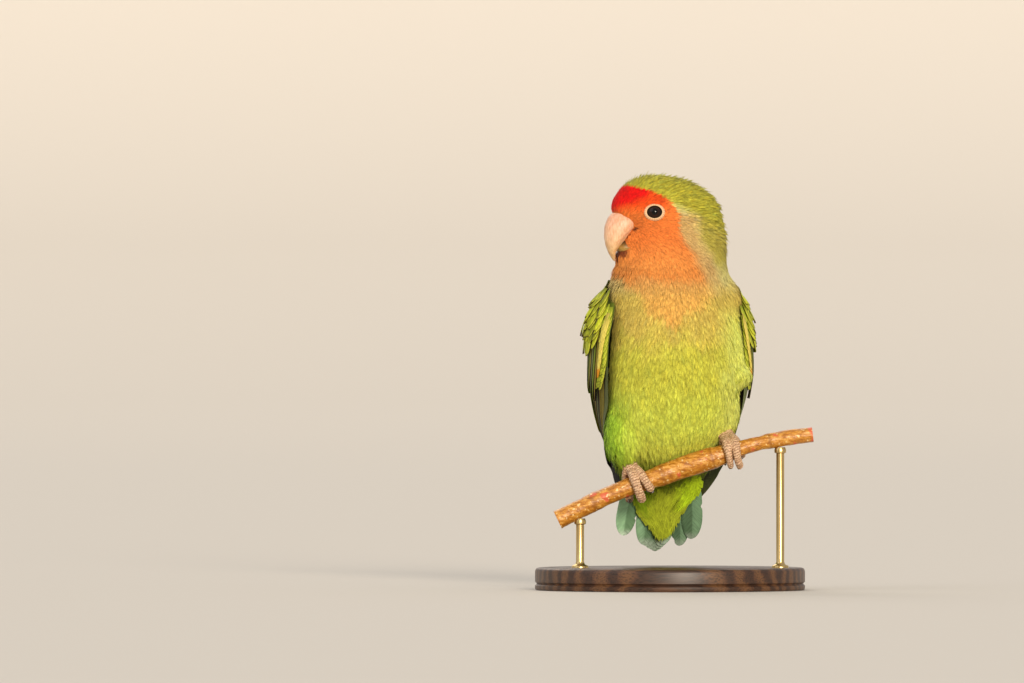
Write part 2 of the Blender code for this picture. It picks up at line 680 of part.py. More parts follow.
def wing(name, sign):
    """Arm, primaries, secondaries, tertials and two rows of coverts, fused into one node."""
    pieces = [wing_core("core", sign)]
    count = len(PRIMARY_TIPS)
    for k, tip in enumerate(PRIMARY_TIPS):
        root_s = spread(*PRIMARIES_FROM, count, k)
        tip_s = spread(*PRIMARIES_TO, count, k)
        pieces.append(wing_vane(f"primary_{k}", sign, (0.36, root_s), (tip, tip_s), 6.0, (0.75, -0.35), 0.0, 0.0, 6))
    for k in range(SECONDARIES):
        root_s = spread(0.42, 0.86, SECONDARIES, k)
        tip_s = spread(0.6, 0.93, SECONDARIES, k)
        tip_t = spread(0.745, 0.66, SECONDARIES, k)
        pieces.append(wing_vane(f"secondary_{k}", sign, (0.38, root_s), (tip_t, tip_s), 8.0, (0.8, -0.35), 0.2, 1.0, 5))
    for k in range(TERTIALS):
        root_s = spread(0.84, 0.93, TERTIALS, k)
        tip_t = spread(0.62, 0.53, TERTIALS, k)
        lift = 1.9 + 0.85 * k
        pieces.append(wing_vane(f"tertial_{k}", sign, (0.32, root_s), (tip_t, 0.9), 7.6, (0.5, 0.1), 0.8, lift, 5))
    for k in range(GREAT_COVERTS):
        s = spread(0.07, 0.88, GREAT_COVERTS, k)
        tip_t = 0.5 - 0.06 * abs(k / (GREAT_COVERTS - 1) - 0.35)
        pieces.append(wing_vane(f"great_covert_{k}", sign, (0.26, s), (tip_t, s + 0.03), 8.6, (0.55, -0.35), 0.7, 1.6, 4))
    for k in range(MIDDLE_COVERTS):
        s = spread(0.1, 0.88, MIDDLE_COVERTS, k)
        pieces.append(wing_vane(f"middle_covert_{k}", sign, (0.16, s), (0.36, s + 0.02), 8.6, (0.55, -0.35), 1.0, 2.2, 4))
    return joined(name, pieces, "wing_plumage", "MANIFOLD")


def tail_vane(name, feather, stations, camber, thick):
    """A tail feather or covert, which leaves the root slanting out and ends straight."""
    root_side, tip_side, height, length, width = feather
    across = Vector((1.0, 0.0, 0.0))
    up = across.cross(TAIL_WAY).normalized()
    up = up if up.y > 0 else -up

    def spot(f):
        out = root_side + (tip_side - root_side) * (1 - max(0.0, 1 - f) ** 1.8)
        return TAIL_ROOT + TAIL_WAY * (TAIL_START + (length - TAIL_START) * f) + across * out + up * height

    def place(f):
        way = (spot(f + 0.02) - spot(f - 0.02)).normalized()
        return of_bird(spot(f)), of_bird(up), of_bird(way.cross(up).normalized())

    lifts = (-0.05, -0.05) if abs(tip_side) < 7 else (-0.2, 0.1)
    return vane(name, place, width, lifts, "tail_plumage", stations, camber, thick)


def tail(name, root_block):
    """The tail's root, twelve graduated feathers in a low stack, and the long coverts below and above them."""
    pieces = [root_block]
    for k, feather in enumerate(TAIL_FEATHERS):
        pieces.append(tail_vane(f"tail_feather_{k}", feather, 5, 0.12, 0.5))
    for k, feather in enumerate(UNDER_COVERTS):
        pieces.append(tail_vane(f"under_covert_{k}", feather, 4, -0.3, 0.5))
    for k, feather in enumerate(OVER_COVERTS):
        pieces.append(tail_vane(f"over_covert_{k}", feather, 4, 0.3, 0.5))
    return joined(name, pieces, "tail_plumage", "MANIFOLD")


def round_perch(share, angle, stand_off):
    """A point beside the perch: angle in degrees, 0 on the viewer's side and 90 on top."""
    point, radius = perch_place(share)
    way = (perch_place(share + 0.01)[0] - perch_place(share - 0.01)[0]).normalized()
    toward = Vector((0.0, -1.0, 0.0))
    top = toward.cross(way)
    top = top if top.z > 0 else -top
    a = math.radians(angle)
    return point + (toward * math.cos(a) + top * math.sin(a)) * (radius + stand_off)


def toe_path(foot_x, toe, rings, start, end):
    """Points along a toe and on along its claw: 0 is the toe's first point on the perch and 1 its last."""
    _, shift, first, last, open_end, radius = toe
    way = 1 if last > first else -1
    path = []
    for i in range(rings):
        f = start + (end - start) * i / (rings - 1)
        share = perch_share(foot_x + shift * (0.45 + 0.55 * min(f, 1.0)))
        if f <= 1:
            angle, off = first + (last - first) * f, radius + GAP + open_end * f**2
        else:
            claw = f - 1
            angle, off = last + way * CLAW_TURN * claw, GAP + radius * (1 - 0.75 * claw) + open_end * (1 - 0.3 * claw)
        path.append(round_perch(share, angle, off))
    return path


def leg_pieces(foot_x, toes, knee, grow=0.0):
    """The ankle's hub on top of the perch, the shank up to the knee, and the toes."""
    hub = round_perch(perch_share(foot_x), 92.0, GAP + HUB_LIFT)
    tilt = Matrix.Rotation(math.radians(-18), 3, "Y")
    hub_size = [r + grow for r in (3.3, 2.5, HUB_RADIUS)]
    pieces = [ellipsoid("hub", hub, hub_size, tilt, "foot_skin", 6, 10)]
    shank_way = (Vector(knee) - hub).normalized()
    shank = [hub + shank_way * (SHANK_LENGTH + grow) * k / 4 for k in range(5)]
    shank_radii = [SHANK_RADIUS * s + grow for s in (1.0, 0.96, 0.95, 1.0, 1.05)]
    pieces.append(tube("shank", shank, shank_radii, TOE_SIDES, "foot_skin"))
    for toe in toes:
        radius = toe[5]
        path = [hub.lerp(round_perch(perch_share(foot_x + toe[1] * 0.5), toe[2], radius + GAP), 0.55)]
        path += toe_path(foot_x, toe, TOE_RINGS, 0.0, 1.0)
        swell = [1.0 - 0.16 * k / TOE_RINGS + 0.06 * math.cos(math.tau * k / 3) for k in range(TOE_RINGS + 1)]
        pieces.append(tube(toe[0], path, [radius * s + grow for s in swell], TOE_SIDES, "foot_skin"))
    return pieces


def claws(side, foot_x, toes):
    """One curved claw beyond the end of each toe."""
    made = []
    for toe in toes:
        path = toe_path(foot_x, toe, CLAW_RINGS + 2, 0.995, 2.0)
        before = path[0]
        toe_end = path[0] + (path[1] - path[0]).normalized() * toe[5] * 0.84 * 0.6
        path = [toe_end + (path[1] - before).normalized() * (GAP + 0.2)] + path[2:]
        radii = [CLAW_RADIUS * (1 - 0.86 * (k / (len(path) - 1)) ** 1.2) for k in range(len(path))]
        claw = tube(f"claw_{side}_{toe[0][-1]}", path, radii, 6, "claw", round_ends=False)
        made.append(claw)
    return made


def build_bird():
    """Head, neck, trunk, thighs, bill, eyes, wings and tail."""
    body = whole_body("torso")

    # The tail's root, the trunk, the neck and the head are lengths of the one body.
    half = GAP / 2
    root_block = body.copy()
    root_block.data = body.data.copy()
    neck = body.copy()
    neck.data = body.data.copy()
    head = body.copy()
    head.data = body.data.copy()
    for piece in (root_block, neck, head):
        bpy.context.scene.collection.objects.link(piece)
    combine(root_block, "INTERSECT", [half_space("below_tail_cut", TAIL_CUT, False, half)])
    combine(body, "DIFFERENCE", [half_space("below_tail_cut", TAIL_CUT, False, -half)])
    combine(body, "DIFFERENCE", [half_space("above_neck_cut", NECK_CUT, True, -half)])
    combine(neck, "INTERSECT", [half_space("above_neck_cut", NECK_CUT, True, half)])
    combine(neck, "DIFFERENCE", [half_space("above_head_cut", HEAD_CUT, True, -half)])
    combine(head, "INTERSECT", [half_space("above_head_cut", HEAD_CUT, True, half)])
    neck.name, head.name = "neck", "head"
    head.data.materials.clear()
    head.data.materials.append(material("face_plumage"))
    neck.data.materials.clear()
    neck.data.materials.append(material("neck_plumage"))

    # Bill
    upper = bill("bill_upper", UPPER_BILL, BILL_TIP, "horn")
    lower = bill("bill_lower", LOWER_BILL, LOWER_TIP, "horn")
    combine(lower, "DIFFERENCE", [bill("clearance", UPPER_BILL, BILL_TIP, "horn", GAP)])
    head_turn = Matrix.Rotation(HEAD_YAW, 3, "Z")
    cere_middle = of_head(CERE_AT[0], CERE_AT[1], CERE_AT[2])
    cere_size = (CERE_SIZE[1], CERE_SIZE[0], CERE_SIZE[2])
    cere = ellipsoid("cere", cere_middle, cere_size, head_turn, "bare_skin", 7, 12)
    nostrils = []
    for sign in (-1, 1):
        spot = of_head(CERE_AT[0] + 1.2, NOSTRIL_SIDE * sign, CERE_AT[2] + 0.9)
        nostrils.append(ellipsoid("nostril", spot, (NOSTRIL_RADIUS * 1.3, NOSTRIL_RADIUS, 1.0), head_turn, "bare_skin", 6, 8))
    combine(cere, "DIFFERENCE", nostrils)
    combine(upper, "DIFFERENCE", [ellipsoid("cere_clearance", cere_middle, [r + GAP for r in cere_size], head_turn, "bare_skin", 7, 12)])
    cutters = [bill("upper_clearance", UPPER_BILL, BILL_TIP, "horn", GAP),
               bill("lower_clearance", LOWER_BILL, LOWER_TIP, "horn", GAP),
               ellipsoid("cere_clearance", cere_middle, [r + GAP for r in cere_size], head_turn, "bare_skin", 7, 12)]
    for cutter in cutters:
        combine(head, "DIFFERENCE", [cutter])

    # Eyes, each in its socket, and the bare rim round each
    upright = Matrix.Identity(3)
    for side, sign in (("left", 1), ("right", -1)):
        surface, look = eye_place(sign)
        middle = surface - look * EYE_SUNK
        smooth(ellipsoid(f"eye_{side}", middle, (EYE_RADIUS,) * 3, upright, "eye", 7, 12), 180)
        rim_at = surface - look * 0.15
        socket = ellipsoid("socket", middle, (EYE_RADIUS + GAP,) * 3, upright, "eye", 7, 12)
        combine(head, "DIFFERENCE", [socket])
        combine(head, "DIFFERENCE", [ring_about("rim_seat", rim_at, look, LID_RADIUS, LID_THICK, "bare_skin", GAP)])
        rim = ring_about(f"eyelid_{side}", rim_at, look, LID_RADIUS, LID_THICK, "bare_skin")
        combine(rim, "DIFFERENCE", [ellipsoid("socket", middle, (EYE_RADIUS + GAP,) * 3, upright, "eye", 7, 12)])
        smooth(rim)

    # Thighs and legs
    legs = []
    for side, foot_x, toes, (middle, radii) in (("right", RIGHT_FOOT_X, RIGHT_TOES, THIGH_RIGHT),
                                                ("left", LEFT_FOOT_X, LEFT_TOES, THIGH_LEFT)):
        own = of_bird(middle)
        thigh = ellipsoid(f"thigh_{side}", own, radii, upright, "green_plumage", 10, 18)
        combine(body, "DIFFERENCE", [ellipsoid("thigh_seat", own, [r + GAP for r in radii], upright, "green_plumage", 10, 18)])
        knee = (own.x, own.y + 1.0, own.z)
        legs.append((side, foot_x, toes, knee, thigh))
    return body, neck, head, root_block, legs


def build_limbs(body, root_block, legs):
    """Legs and claws, the wings over the trunk, and the tail. Each is cut clear of what lies under it."""
    for side, foot_x, toes, knee, thigh in legs:
        smooth(joined(f"leg_{side}", leg_pieces(foot_x, toes, knee), "foot_skin"), 60)
        for flesh in (thigh, body):
            for cutter in leg_pieces(foot_x, toes, knee, GAP * 1.15):
                combine(flesh, "DIFFERENCE", [cutter])
        for claw in claws(side, foot_x, toes):
            smooth(claw, 60)
    combine(body, "DIFFERENCE", [perch("perch_seat", GAP)])
    for _, _, _, _, thigh in legs:
        combine(thigh, "DIFFERENCE", [perch("perch_seat", GAP)])

    for side, sign in (("left", 1), ("right", -1)):
        made = wing(f"wing_{side}", sign)
        combine(made, "DIFFERENCE", [whole_body("body_clearance", GAP)], "MANIFOLD")
        for middle, radii in (THIGH_RIGHT, THIGH_LEFT):
            size = [r + GAP for r in radii]
            clear = ellipsoid("thigh_clearance", of_bird(middle), size, Matrix.Identity(3), "green_plumage", 10, 18)
            combine(made, "DIFFERENCE", [clear], "MANIFOLD")
        smooth(made)
    smooth(tail("tail", root_block))


def build_stand():
    """The flat base and the two rods up to the perch, whose tops are shaped to its underside."""
    smooth(perch("perch"), 50)
    base_rings = ((0.0, 0.6), (0.6, 0.0), (BASE_HEIGHT - BASE_BEVEL, 0.0), (BASE_HEIGHT - BASE_BEVEL * 0.3, BASE_BEVEL * 0.3),
                  (BASE_HEIGHT, BASE_BEVEL))
    points = []
    for z, inset in base_rings:
        for k in range(BASE_SIDES):
            around = math.tau * k / BASE_SIDES
            points.append(Vector((math.cos(around), math.sin(around), 0.0)) * (BASE_RADIUS - inset) + UP * z)
    base = add_object("stand_base", points, tube_faces(len(base_rings), BASE_SIDES), "stand_wood")
    for side, x in zip(("left", "right"), ROD_X):
        top = perch_place(perch_share(x))[0].z
        foot, head = Vector((x, PERCH_Y, ROD_FOOT)), Vector((x, PERCH_Y, top))
        rod = tube(f"stand_rod_{side}", [foot, head], [ROD_RADIUS] * 2, 16, "stand_metal", round_ends=False)
        combine(rod, "DIFFERENCE", [perch("perch_clearance", GAP)])
        below = foot - UP * ROD_HOLE_CLEAR
        hole = tube("hole", [below, head], [ROD_RADIUS + ROD_HOLE_CLEAR] * 2, 16, "stand_wood", round_ends=False)
        combine(base, "DIFFERENCE", [hole])
        smooth(rod)
    smooth(base)


def main():
    for obj in list(bpy.data.objects):
        bpy.data.objects.remove(obj)
    body, neck, head, root_block, legs = build_bird()
    build_limbs(body, root_block, legs)
    build_stand()
    for piece in (body, neck, head):
        smooth(piece)
    for _, _, _, _, thigh in legs:
        smooth(thigh)


main()
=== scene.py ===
# %% [markdown]
# # A peach-faced lovebird on a cut perch
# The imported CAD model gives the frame: every node lies where the real bird's parts lie, in metres, with the
# viewer on the -Y side and +Z up. This notebook dresses that frame. Flesh nodes are replaced by one skin
# with a coat of small feathers, and the wing, tail, bill, eyes, feet, perch and stand are made finer in
# their places.

# %% Load the frame
import math

import bmesh
import bpy
import numpy as np
from mathutils import Matrix, Vector, noise
from mathutils.bvhtree import BVHTree
from mathutils.kdtree import KDTree


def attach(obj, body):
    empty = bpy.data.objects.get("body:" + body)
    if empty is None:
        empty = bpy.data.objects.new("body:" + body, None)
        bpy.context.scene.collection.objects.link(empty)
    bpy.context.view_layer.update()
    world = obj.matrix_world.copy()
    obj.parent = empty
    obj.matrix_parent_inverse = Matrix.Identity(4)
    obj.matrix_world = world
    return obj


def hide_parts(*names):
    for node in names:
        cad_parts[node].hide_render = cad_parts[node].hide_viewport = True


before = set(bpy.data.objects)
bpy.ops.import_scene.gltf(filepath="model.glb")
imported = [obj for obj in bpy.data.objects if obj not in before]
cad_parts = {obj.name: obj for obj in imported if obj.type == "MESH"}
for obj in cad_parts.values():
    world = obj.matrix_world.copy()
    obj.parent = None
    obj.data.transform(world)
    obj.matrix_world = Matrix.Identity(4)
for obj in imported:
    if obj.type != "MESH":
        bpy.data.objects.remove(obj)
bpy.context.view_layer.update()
MM = 0.001
draw = np.random.RandomState(41)
print("nodes in the frame:", len(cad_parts))

# %% [markdown]
# ## Small helpers
# All shapes below are worked out in millimetres and written into meshes in metres. A finished piece keeps its
# object at the origin, rides on the one body of the model, and hides the CAD nodes that it stands for.

# %% Helpers for pieces
def in_scene(name, data):
    """A new object, linked to the scene."""
    obj = bpy.data.objects.new(name, data)
    bpy.context.scene.collection.objects.link(obj)
    return obj


def finish_piece(name, mesh, finish, slot, *nodes, smooth=True):
    """Links a mesh as a piece of the root body, with its material and the CAD nodes that it stands for."""
    mesh.name = name
    if smooth:
        mesh.shade_smooth()
    if finish:
        mesh.materials.clear()
        mesh.materials.append(finish)
    obj = in_scene(name, mesh)
    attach(obj, "root")
    if nodes:
        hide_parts(*nodes)
    mesh.calc_loop_triangles()
    print(f"{name}: {len(mesh.loop_triangles)} triangles")
    return obj


def to_mesh(bm, name="shape"):
    mesh = bpy.data.meshes.new(name)
    bm.to_mesh(mesh)
    bm.free()
    return mesh


def read(items, what, width=3, kind=float):
    """One property of many mesh items as an array."""
    found = np.empty(len(items) * width, kind)
    items.foreach_get(what, found)
    return found.reshape(-1, width) if width > 1 else found


def places(mesh):
    """A mesh's vertices as an array, in millimetres."""
    return read(mesh.vertices, "co") / MM


def put_places(mesh, points):
    mesh.vertices.foreach_set("co", (np.asarray(points) * MM).ravel())
    mesh.update()


def put_verts(bm, spots):
    for vert, spot in zip(bm.verts, spots):
        vert.co = Vector(spot) * MM


def note(mesh, name, values, kind="FLOAT"):
    """Stores a number, a vector or a colour for every vertex, which a material can read."""
    values = np.asarray(values, float)
    if kind == "FLOAT_COLOR":
        values = np.concatenate([values, np.ones((len(values), 1))], 1)
    key = {"FLOAT": "value", "FLOAT_VECTOR": "vector", "FLOAT_COLOR": "color"}[kind]
    mesh.attributes.new(name, kind, "POINT").data.foreach_set(key, values.ravel())


def unit(v):
    return v / np.maximum(np.linalg.norm(v, axis=-1, keepdims=True), 1e-9)


def dot(a, b):
    return (a * b).sum(1)


def ease(x, low=0.0, high=1.0):
    x = np.clip((np.asarray(x, float) - low) / (high - low), 0.0, 1.0)
    return x * x * (3 - 2 * x)


def mix(a, b, share):
    return a + (b - a) * np.asarray(share)[:, None]


def lengths_along(line):
    """How far along a line each of its points lies."""
    return np.concatenate([[0], np.cumsum(np.linalg.norm(np.diff(line, axis=0), axis=1))])


def wander(points, size, seed):
    """Soft noise from -1 to 1 at points, with grains of so many millimetres."""
    shift = Vector((seed * 7.3, seed * 3.1, seed * 5.7))
    return np.array([noise.noise(Vector(p) / size + shift) for p in points])


def even_mesh(mesh, voxel, passes):
    """The same shape in small even faces: a voxel remesh, then a few rounds of smoothing."""
    obj = in_scene("even", mesh)
    remesh = obj.modifiers.new("voxels", "REMESH")
    remesh.mode = "VOXEL"
    remesh.voxel_size = voxel * MM
    found = bpy.data.meshes.new_from_object(obj.evaluated_get(bpy.context.evaluated_depsgraph_get()))
    bpy.data.objects.remove(obj)
    bm = bmesh.new()
    bm.from_mesh(found)
    for _ in range(passes):
        bmesh.ops.smooth_vert(bm, verts=bm.verts, factor=0.5,
                              use_axis_x=True, use_axis_y=True, use_axis_z=True)
    bmesh.ops.recalc_face_normals(bm, faces=bm.faces)
    return to_mesh(bm)


def node_mesh(*names):
    """Welded copies of CAD nodes in one mesh."""
    bm = bmesh.new()
    for name in names:
        bm.from_mesh(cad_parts[name].data)
    bmesh.ops.remove_doubles(bm, verts=bm.verts, dist=0.01 * MM)
    return to_mesh(bm)


def spun(profile, steps, closed=False):
    """A surface turned about the vertical axis from (radius, height) points. A closed profile is a ring."""
    bm = bmesh.new()
    line = [bm.verts.new((r, 0.0, h)) for r, h in profile]
    edges = [bm.edges.new(pair) for pair in zip(line, line[1:] + line[:1] * closed)]
    bmesh.ops.spin(bm, geom=line + edges, axis=(0, 0, 1), cent=(0, 0, 0), steps=steps, angle=math.tau,
                   use_merge=True)
    bmesh.ops.remove_doubles(bm, verts=bm.verts, dist=1e-7)
    bmesh.ops.recalc_face_normals(bm, faces=bm.faces)
    return bm


# %% [markdown]
# ## Materials
# Every finish starts from a real one. Noise and waves on Object coordinates give each its grain, and a
# scale is written as one grain per so many millimetres. Constant values sit on the shader's own sockets.

# %% Helpers for colours and nodes
def linear(code):
    """A linear RGB array from an sRGB hex value."""
    parts = np.array([int(code[i:i + 2], 16) for i in (1, 3, 5)]) / 255
    return np.where(parts <= 0.04045, parts / 12.92, ((parts + 0.055) / 1.055) ** 2.4)


def rgba(code):
    return (*linear(code), 1.0)


def per_mm(size):
    """A texture scale whose grains are about so many millimetres across."""
    return 1 / (size * MM)


def add_node(tree, kind, inputs=(), stops=(), out=0, **settings):
    """Adds a node and gives one of its outputs. inputs holds values or other nodes' outputs by socket, and
    stops the places and colours of a ramp."""
    node = tree.nodes.new("ShaderNode" + kind)
    for key, value in settings.items():
        setattr(node, key, value)
    for socket, value in dict(inputs).items():
        if isinstance(value, bpy.types.NodeSocket):
            tree.links.new(value, node.inputs[socket])
        else:
            node.inputs[socket].default_value = value
    for k, (place, code) in enumerate(stops):
        element = node.color_ramp.elements[k] if k < 2 else node.color_ramp.elements.new(1.0)
        element.position, element.color = place, rgba(code)
    return node.outputs[out] if len(node.outputs) else None


def empty_finish(name):
    """A new material and its node tree, with nothing in it."""
    made = bpy.data.materials.new(name)
    made.use_nodes = True
    made.node_tree.nodes.clear()
    return made, made.node_tree


# %% Plumage
# Feather keratin is matt with a faint sheen, of refractive index 1.55. Contour feathers are loose barbs, so
# they are rough and scatter light softly. Flight feathers are zipped into a sheet and a little smoother.
# The colour of each feather is stored in its mesh, and so are its own coordinates in millimetres, on which
# the barbs are drawn: streaks along a contour feather, and slanting from the shaft on a stiff one.
def barbed_finish(name, roughness, gloss, sheen, stretch, depth, pale):
    made, tree = empty_finish(name)
    own = add_node(tree, "Attribute", attribute_name="plumage", out="Color")
    barb = add_node(tree, "Attribute", attribute_name="barb", out="Vector")
    streak_at = add_node(tree, "Mapping", {"Vector": barb, "Scale": stretch})
    streak = add_node(tree, "TexNoise", {"Vector": streak_at, "Scale": 1.0, "Detail": 3.0, "Roughness": 0.6})
    shade = add_node(tree, "ValToRGB", {0: streak}, ((0.32, pale), (0.62, "#ffffff")))
    colour = add_node(tree, "Mix", {0: 1.0, 6: own, 7: shade}, data_type="RGBA", blend_type="MULTIPLY", out=2)
    relief = add_node(tree, "Bump", {"Height": streak, "Distance": depth * MM, "Strength": 0.7})
    shell = add_node(tree, "BsdfPrincipled", {"Base Color": colour, "Normal": relief, "Roughness": roughness,
                                              "IOR": 1.55, "Specular IOR Level": gloss, "Sheen Weight": sheen,
                                              "Sheen Roughness": 0.5})
    add_node(tree, "OutputMaterial", {"Surface": shell})
    return made


soft_plumage = barbed_finish("contour_feather_keratin", 0.8, 0.2, 0.05, (0.45, 2.6, 1.0), 0.06, "#bcbcbc")
stiff_plumage = barbed_finish("flight_feather_keratin", 0.6, 0.12, 0.02, (3.0, 0.35, 1.0), 0.04, "#bcbcbc")
print("plumage materials made")

# %% [markdown]
# ## The bird's form
# The trunk, neck and head are egg-shaped sections stacked from the root of the tail to the crown, the same
# numbers as in the CAD source. The body faces 10 degrees to one side of the viewer and the head is turned the
# other way, so sections between the shoulders and the jaw blend from one facing to the other.

# %% Sections and frames
CROWN_Z, BROW_Z, CROWN_LEAN = 165.9, 152.0, 5.2
BODY_YAW, HEAD_YAW = math.radians(10.0), math.radians(-68.0)
HEAD_MIDDLE = np.array([-1.0, -5.0])
NECK_TURN = (119.0, 134.0)  # between these heights the sections turn from the body's facing to the head's
BODY_SQUARE, HEAD_SQUARE = 2.15, 2.05  # 2 makes a section of half ellipses, and more makes it squarer
BODY_SECTIONS = (  # height, to its left, set back, half width, depth before and behind
    (34.0, 0.0, 27.6, 8.5, 4.4, 3.0), (39.0, 0.0, 24.8, 12.0, 7.6, 5.0), (45.0, 0.2, 19.8, 16.5, 12.0, 8.6),
    (52.0, 0.5, 13.5, 21.0, 15.8, 13.6), (62.0, 0.8, 6.2, 24.4, 19.6, 19.4), (76.0, 1.1, 2.0, 26.3, 23.8, 22.8),
    (92.0, 1.2, 0.0, 26.9, 26.3, 23.9), (106.0, 0.9, -1.0, 26.2, 26.0, 22.4),
    (116.0, 0.5, -2.0, 25.4, 24.3, 20.6), (124.0, 0.2, -3.0, 24.5, 22.4, 18.8),
    (136.0, 0.0, -4.0, 21.5, 20.0, 17.0))
HEAD_SECTIONS = (  # height, half width, depth before and behind
    (117.0, 24.5, 24.0, 24.0), (126.0, 21.2, 22.6, 24.3), (131.0, 19.0, 20.6, 24.4), (135.0, 17.4, 18.2, 24.5),
    (140.0, 16.3, 17.6, 24.3), (145.0, 15.6, 18.6, 23.6), (149.0, 15.1, 20.8, 22.5), (152.0, 14.8, 22.4, 21.6))
TRUNK_FOOT = BODY_SECTIONS[0][0]


def hermite(f, a, slope_a, b, slope_b):
    return ((2 * f**3 - 3 * f**2 + 1) * a + (f**3 - 2 * f**2 + f) * slope_a
            + (3 * f**2 - 2 * f**3) * b + (f**3 - f**2) * slope_b)


def through(sections, z):
    """Each column of the sections at heights z, on a smooth curve."""
    rows = np.array(sections)
    height, value = rows[:, 0], rows[:, 1:]
    slope = np.empty_like(value)
    slope[1:-1] = (value[2:] - value[:-2]) / (height[2:] - height[:-2])[:, None]
    slope[0] = (value[1] - value[0]) / (height[1] - height[0])
    slope[-1] = (value[-1] - value[-2]) / (height[-1] - height[-2])
    z = np.clip(z, height[0], height[-1])
    i = np.clip(np.searchsorted(height, z, side="right") - 1, 0, len(height) - 2)
    span = (height[i + 1] - height[i])[:, None]
    f = (z - height[i])[:, None] / span
    return hermite(f, value[i], slope[i] * span, value[i + 1], slope[i + 1] * span)


def along(points, share):
    """Points at shares of the way through evenly spaced points, on a smooth curve."""
    p = np.array(points, float)
    spans = len(p) - 1
    place = np.clip(share, 0.0, 1.0) * spans
    i = np.minimum(place.astype(int), spans - 1)
    f = (place - i)[:, None]
    slope_a = (p[i + 1] - p[np.maximum(i - 1, 0)]) / 2
    slope_b = (p[np.minimum(i + 2, spans)] - p[i]) / 2
    return hermite(f, p[i], slope_a, p[i + 1], slope_b)


def turned(points, angle):
    """Points turned about the vertical."""
    points = np.asarray(points, float)
    c, s = math.cos(angle), math.sin(angle)
    out = points.copy()
    out[..., 0] = points[..., 0] * c - points[..., 1] * s
    out[..., 1] = points[..., 0] * s + points[..., 1] * c
    return out


def of_bird(points):
    """The bird's own frame, x to its left and y to its back, in the row frame."""
    return turned(points, BODY_YAW)


def of_head(ahead, side, z):
    """Ahead of the head's axis, to its left and up, in the row frame."""
    ahead, side, z = np.broadcast_arrays(*(np.asarray(v, float) for v in (ahead, side, z)))
    out = turned(np.stack([side, -ahead, z], -1), HEAD_YAW)
    out[..., :2] += HEAD_MIDDLE
    return out


def head_frame(points):
    """How far ahead of the head's axis and how far to its left each point lies."""
    off = points.copy()
    off[:, :2] -= HEAD_MIDDLE
    own = turned(off, -HEAD_YAW)
    return -own[:, 1], own[:, 0]


def reach(angle, half, front, back, square):
    depth = np.where(np.cos(angle) > 0, front, back)
    return (np.abs(np.cos(angle) / depth) ** square + np.abs(np.sin(angle) / half) ** square) ** (-1 / square)


def sections_at(z):
    """The middle of the body at each height, with what radius() needs there."""
    z = np.atleast_1d(np.asarray(z, float))
    body = through(BODY_SECTIONS, z)
    dome = np.clip((z - BROW_Z) / (CROWN_Z - BROW_Z), 0.0, 1.0)
    head = through(HEAD_SECTIONS, z) * np.sqrt(1 - dome**2)[:, None]
    turn = ease(z, *NECK_TURN)
    body_middle = of_bird(np.stack([body[:, 0], body[:, 1], z * 0], -1))
    head_middle = of_head(CROWN_LEAN * dome**1.5, 0.0, 0.0)
    middle = body_middle + (head_middle - body_middle) * turn[:, None]
    return middle, (body, head, turn)


def radius(facts, direction):
    body, head, turn = facts
    a = reach(direction - (BODY_YAW - math.pi / 2), body[:, 2], body[:, 3], body[:, 4], BODY_SQUARE)
    safe = np.maximum(head, 1e-6)
    b = reach(direction - (HEAD_YAW - math.pi / 2), safe[:, 0], safe[:, 1], safe[:, 2], HEAD_SQUARE)
    return a * (1 - turn) + b * turn


def body_surface(z, direction):
    middle, facts = sections_at(z)
    r = radius(facts, direction)
    return middle + np.stack([np.cos(direction) * r, np.sin(direction) * r, z], -1)


def off_body(points, clear):
    """Points moved straight out until they lie so far from the body."""
    middle, facts = sections_at(points[:, 2])
    spoke = points[:, :2] - middle[:, :2]
    distance = np.hypot(*spoke.T)
    least = radius(facts, np.arctan2(spoke[:, 1], spoke[:, 0])) + clear
    least = np.where((points[:, 2] > TRUNK_FOOT) & (points[:, 2] < CROWN_Z), least, 0)
    out = points.copy()
    out[:, :2] = middle[:, :2] + spoke * (np.maximum(distance, least) / np.maximum(distance, 1e-6))[:, None]
    return out


# %% The perch's axis, which feathers and feet keep clear of
PERCH_Y = -5.0
GAP = 0.34  # air between two CAD nodes that touch in life
PERCH_POINTS = (  # x, height, radius
    (-45.0, 28.2, 3.9), (-33.0, 34.0, 3.6), (-20.0, 39.8, 3.55), (-8.0, 44.2, 3.8), (4.0, 48.6, 4.3),
    (12.0, 51.3, 4.55), (20.0, 53.8, 3.9), (28.0, 56.6, 3.15), (36.0, 58.8, 2.85), (46.0, 60.8, 3.1),
    (57.0, 62.2, 3.0))


def perch_at(share):
    """The axis and the radius at shares of the perch's length."""
    found = along(PERCH_POINTS, np.atleast_1d(share))
    middle = np.stack([found[:, 0], np.full(len(found), PERCH_Y), found[:, 1]], -1)
    return middle, found[:, 2]


perch_steps = np.linspace(0, 1, 2001)
perch_x = perch_at(perch_steps)[0][:, 0]


def perch_share(x):
    return np.interp(x, perch_x, perch_steps)


def perch_ways(share, step):
    """The ways to the viewer and up, both square to the perch's axis."""
    way = unit(perch_at(share + step)[0] - perch_at(share - step)[0])
    toward = np.array([0.0, -1.0, 0.0])
    top = np.cross(toward, way)
    return toward, top * np.sign(top[:, 2:])


def round_perch(share, angle, stand_off):
    """Points beside the perch: 0 degrees is the viewer's side and 90 the top."""
    share = np.atleast_1d(share)
    middle, thick = perch_at(share)
    toward, top = perch_ways(share, 0.01)
    a = np.radians(angle)[..., None] * np.ones((len(share), 1))
    return middle + (toward * np.cos(a) + top * np.sin(a)) * (thick + stand_off)[:, None]


